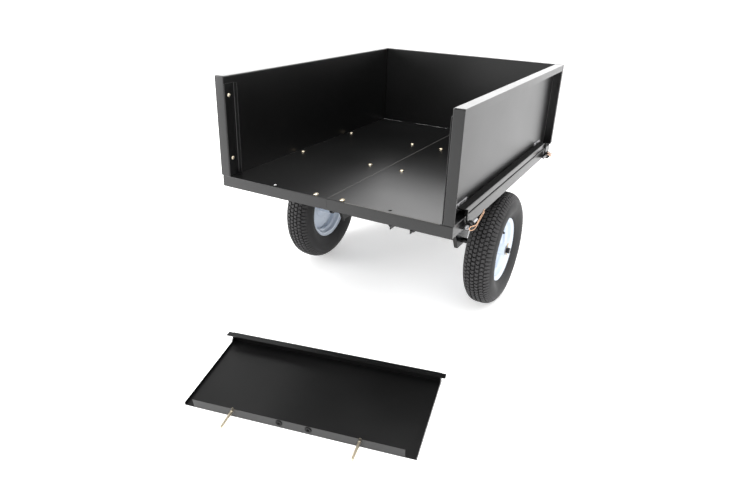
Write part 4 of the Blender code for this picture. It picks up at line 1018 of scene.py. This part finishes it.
@dataclass
class SteelRim(WheelPart):
    """A painted drop-centre rim with its dished disc, turned smooth.

    The barrel's line gives radii and the distances in from its edge, the disc's line radii and
    the distances out from the disc's flat.
    """

    half_width: float = 0.0335
    sheet: float = 0.0025
    barrel_line: Rows = (
        (0.1125, 0.0), (0.1113, 0.0026), (0.1075, 0.0038), (0.1033, 0.0046), (0.1015, 0.0064),
        (0.1005, 0.0150), (0.0980, 0.0172), (0.0922, 0.0205), (0.0900, 0.0230),
    )
    lip: tuple[float, float] = (0.1115, -0.0008)
    disc_flat: float = 0.00225
    disc_line: Rows = (
        (0.0193, 0.0060), (0.0330, 0.0060), (0.0370, 0.0046), (0.0420, 0.0010),
        (0.0460, 0.0), (0.0750, 0.0), (0.0790, 0.0012), (0.0884, 0.0024),
    )
    steps: int = 96

    def barrel(self) -> Profile:
        """The barrel's sheet as a closed outline."""
        half = self.half_width
        line = [(radius, half - inwards) for radius, inwards in self.barrel_line]
        outer = line + [(radius, -across) for radius, across in reversed(line)]
        inner = [(radius - self.sheet, across) for radius, across in reversed(outer[1:-1])]
        edge, past = self.lip
        return outer + [(edge, past - half)] + inner + [(edge, half - past)]

    def disc(self) -> Profile:
        """The disc's sheet as a closed outline, dished round the hub."""
        line = [(radius, self.disc_flat + out) for radius, out in self.disc_line]
        return line + [(radius, across - self.sheet) for radius, across in reversed(line)]

    def build(self) -> None:
        """Builds the rim and lets it stand for its node."""
        barrel = lathe(self.barrel(), self.steps, closed=True)
        disc = lathe(self.disc(), self.steps, closed=True)
        self.mount("painted_rim", put_together(barrel, disc), self.side.flip, Slot.WHITE_PAINT, "rim")


@dataclass
class WheelHub(WheelPart):
    """A wheel's welded hub tube with its chamfered ends, and the rubber valve stem."""

    radius: float = 0.019
    bore: float = 0.0104
    half: float = 0.042
    ease: float = 0.0015
    weld_line: Rows = ((0.0190, 0.0113), (0.0211, 0.0101), (0.0220, 0.0083), (0.0190, 0.0073))
    steps: int = 48
    valve_line: Rows = (
        (0.0, 0.0325), (0.0026, 0.0325), (0.0036, 0.0317), (0.0036, 0.0280), (0.0033, 0.0275),
        (0.0036, 0.0270), (0.0036, 0.0225), (0.0033, 0.0220), (0.0036, 0.0215), (0.0036, 0.0185),
        (0.0032, 0.0178), (0.0034, 0.0110), (0.0040, 0.0050), (0.0041, 0.0020), (0.0036, 0.0), (0.0, 0.0),
    )
    valve_steps: int = 20
    valve_lean: float = 48.0
    valve_turn: float = 8.0
    valve_foot: Triple = (0.0083, 0.0, 0.08525)

    def tube(self) -> Shape:
        """The hub tube with the weld bead that joins it to the disc."""
        half = self.half
        ease = self.ease
        front = [
            (self.bore, half - ease), (self.bore + ease, half), (self.radius - ease, half),
            (self.radius, half - ease),
        ]
        back = [(radius, -across) for radius, across in reversed(front)]
        return lathe(front + list(self.weld_line) + back, self.steps, closed=True)

    def valve(self) -> Shape:
        """The valve stem in its place: a bulged rubber base, a waist and a ribbed cap."""
        lean = Matrix.Rotation(math.radians(180.0 - self.valve_lean), 4, "Y")
        turn = Matrix.Rotation(math.radians(self.valve_turn), 4, "X")
        place = turn @ Matrix.Translation(self.valve_foot) @ lean
        return lathe(self.valve_line, self.valve_steps, turn=place @ TO_Z)

    def build(self) -> None:
        """Fits the hub and the valve stem in the places of their nodes."""
        turn = self.side.flip @ STANCE.trailer().to_3x3().to_4x4()
        self.mount("hub_tube", self.tube(), turn, Slot.WHITE_PAINT, "hub")
        self.mount("tyre_valve", self.valve(), turn, Slot.STEM_RUBBER, "valve_stem")


@dataclass
class Studio:
    """The photographer's table: a camera, a pale floor and soft lights."""

    lens: float = 28.4208
    azimuth: float = -29.963
    elevation: float = 32.215
    roll: float = -2.438
    place: Triple = (0.876, -1.8334, 1.3191)
    sight: float = 200.0
    floor_half: float = 30.0
    floor_drop: float = 0.0005
    floor_colours: tuple[Triple, Triple] = ((0.86, 0.86, 0.86), (0.88, 0.88, 0.88))
    floor_roughness: tuple[float, float] = (0.7, 0.8)
    floor_glow: float = 0.41
    overhead_power: float = 4.6
    overhead_width: float = 70.0
    overhead_lean: tuple[float, float] = (12.0, 40.0)
    softbox_power: float = 120.0
    softbox_size: float = 2.0
    softbox_place: Triple = (-3.4, -2.6, 1.6)
    softbox_aim: Triple = (-1.2, -1.6, 0.0)
    brightest: float = 4.2
    behind: float = 0.38
    backdrop: Triple = (-0.5, 0.866, 0.0)
    glow: Rows = ((0.0, 1.0), (0.18, 1.0), (0.30, 0.40), (0.50, 0.20), (0.68, 0.14), (0.80, 0.05))

    def camera(self) -> None:
        """Places the camera where the photograph was taken from."""
        data = bpy.data.cameras.new("camera")
        data.lens = self.lens
        data.clip_end = self.sight
        camera = bpy.data.objects.new("camera", data)
        place = Matrix.Translation(self.place)
        for angle, axis in ((-self.azimuth, "Z"), (90.0 - self.elevation, "X"), (self.roll, "Z")):
            place = place @ Matrix.Rotation(math.radians(angle), 4, axis)
        camera.matrix_world = place
        bpy.context.scene.collection.objects.link(camera)
        bpy.context.scene.camera = camera

    def floor(self) -> None:
        """Lays the pale floor, a hair under the tyres."""
        bm = bmesh.new()
        bmesh.ops.create_grid(bm, x_segments=4, y_segments=4, size=self.floor_half)
        bmesh.ops.translate(bm, vec=(0, 0, -self.floor_drop), verts=bm.verts)
        floor = finished("floor", bm)
        material = bpy.data.materials.new("paper floor")
        material.use_nodes = True
        wiring = Wiring(material.node_tree)
        place = wiring.add("ShaderNodeTexCoord", {}).outputs["Object"]
        tint = wiring.spread(wiring.noise(place, scale=3.0, detail=4.0), 0.0, 1.0, start=0.35, end=0.65)
        wiring.feed(material.node_tree.nodes["Principled BSDF"], {
            "Base Color": wiring.blend(tint, *self.floor_colours),
            "Roughness": wiring.spread(tint, *self.floor_roughness, start=0.0, end=1.0),
            "Emission Color": (1.0, 1.0, 1.0, 1.0),
            "Emission Strength": self.floor_glow,
        })
        floor.data.materials.append(material)

    def lights(self) -> None:
        """Hangs the wide overhead light, even over the whole floor, and the softbox on the left."""
        wanted = (("overhead", "SUN", self.overhead_power), ("left softbox", "AREA", self.softbox_power))
        lamps = []
        for name, kind, power in wanted:
            data = bpy.data.lights.new(name, kind)
            data.energy = power
            lamps.append(bpy.data.objects.new(name, data))
            bpy.context.scene.collection.objects.link(lamps[-1])
        overhead, softbox = lamps
        overhead.data.angle = math.radians(self.overhead_width)
        lean, turn = (math.radians(angle) for angle in self.overhead_lean)
        overhead.rotation_euler = (lean, 0.0, turn)
        softbox.data.size = self.softbox_size
        softbox.location = self.softbox_place
        sight = Vector(self.softbox_aim) - Vector(self.softbox_place)
        softbox.rotation_euler = sight.to_track_quat("-Z", "Y").to_euler()

    def surroundings(self) -> None:
        """Lights the room: a bright paper backdrop ahead, dark behind the camera and overhead."""
        world = bpy.data.worlds.new("studio")
        bpy.context.scene.world = world
        world.use_nodes = True
        wiring = Wiring(world.node_tree)
        towards = wiring.add("ShaderNodeTexCoord", {}).outputs["Generated"]
        up = wiring.add("ShaderNodeSeparateXYZ", {0: towards}).outputs["Z"]
        ramp = wiring.add("ShaderNodeValToRGB", {0: up})
        stops = ramp.color_ramp.elements
        stops[0].position = self.glow[0][0]
        stops[1].position = self.glow[-1][0]
        for place, _ in self.glow[1:-1]:
            stops.new(place)
        for stop, (_, share) in zip(stops, self.glow):
            stop.color = (share, share, share, 1.0)
        inputs = {0: towards, 1: self.backdrop}
        ahead = wiring.add("ShaderNodeVectorMath", inputs, operation="DOT_PRODUCT").outputs["Value"]
        side = wiring.spread(ahead, self.behind, 1.0, start=0.1, end=0.9)
        strength = wiring.product(wiring.product(ramp.outputs["Color"], side), self.brightest)
        inputs = {"Color": (1.0, 1.0, 1.0, 1.0), "Strength": strength}
        wiring.feed(world.node_tree.nodes["Background"], inputs)

    def set_up(self) -> None:
        """Sets the whole studio up."""
        self.camera()
        self.floor()
        self.lights()
        self.surroundings()
        bpy.context.scene.view_settings.view_transform = "Standard"


def main() -> None:
    """Dresses the trailer, piece by piece, and sets up the studio."""
    logging.basicConfig(level=logging.INFO, format="%(name)s: %(message)s")
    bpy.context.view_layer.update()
    paintbox = Paintbox()
    for name, node in frame["nodes"].items():
        node.data.materials.clear()
        node.data.materials.append(paintbox.materials[slot_of_node(name)])
    PressedSheet(paintbox).build()
    for side in Side:
        low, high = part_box(f"{side.word}_tyre")
        middle = (low + high) / 2
        PneumaticTyre(paintbox, side, middle, (high.z - low.z) / 2, (high.x - low.x) / 2).build()
        SteelRim(paintbox, side, middle).build()
        WheelHub(paintbox, side, middle).build()
    BedBolts(paintbox).build()
    for side in Side:
        HingeRail(paintbox, side).build()
    WornFolds(paintbox).build()
    SidePins(paintbox).build()
    TailgateFittings(paintbox).build()
    Studio().set_up()


if __name__ == "__main__":
    main()
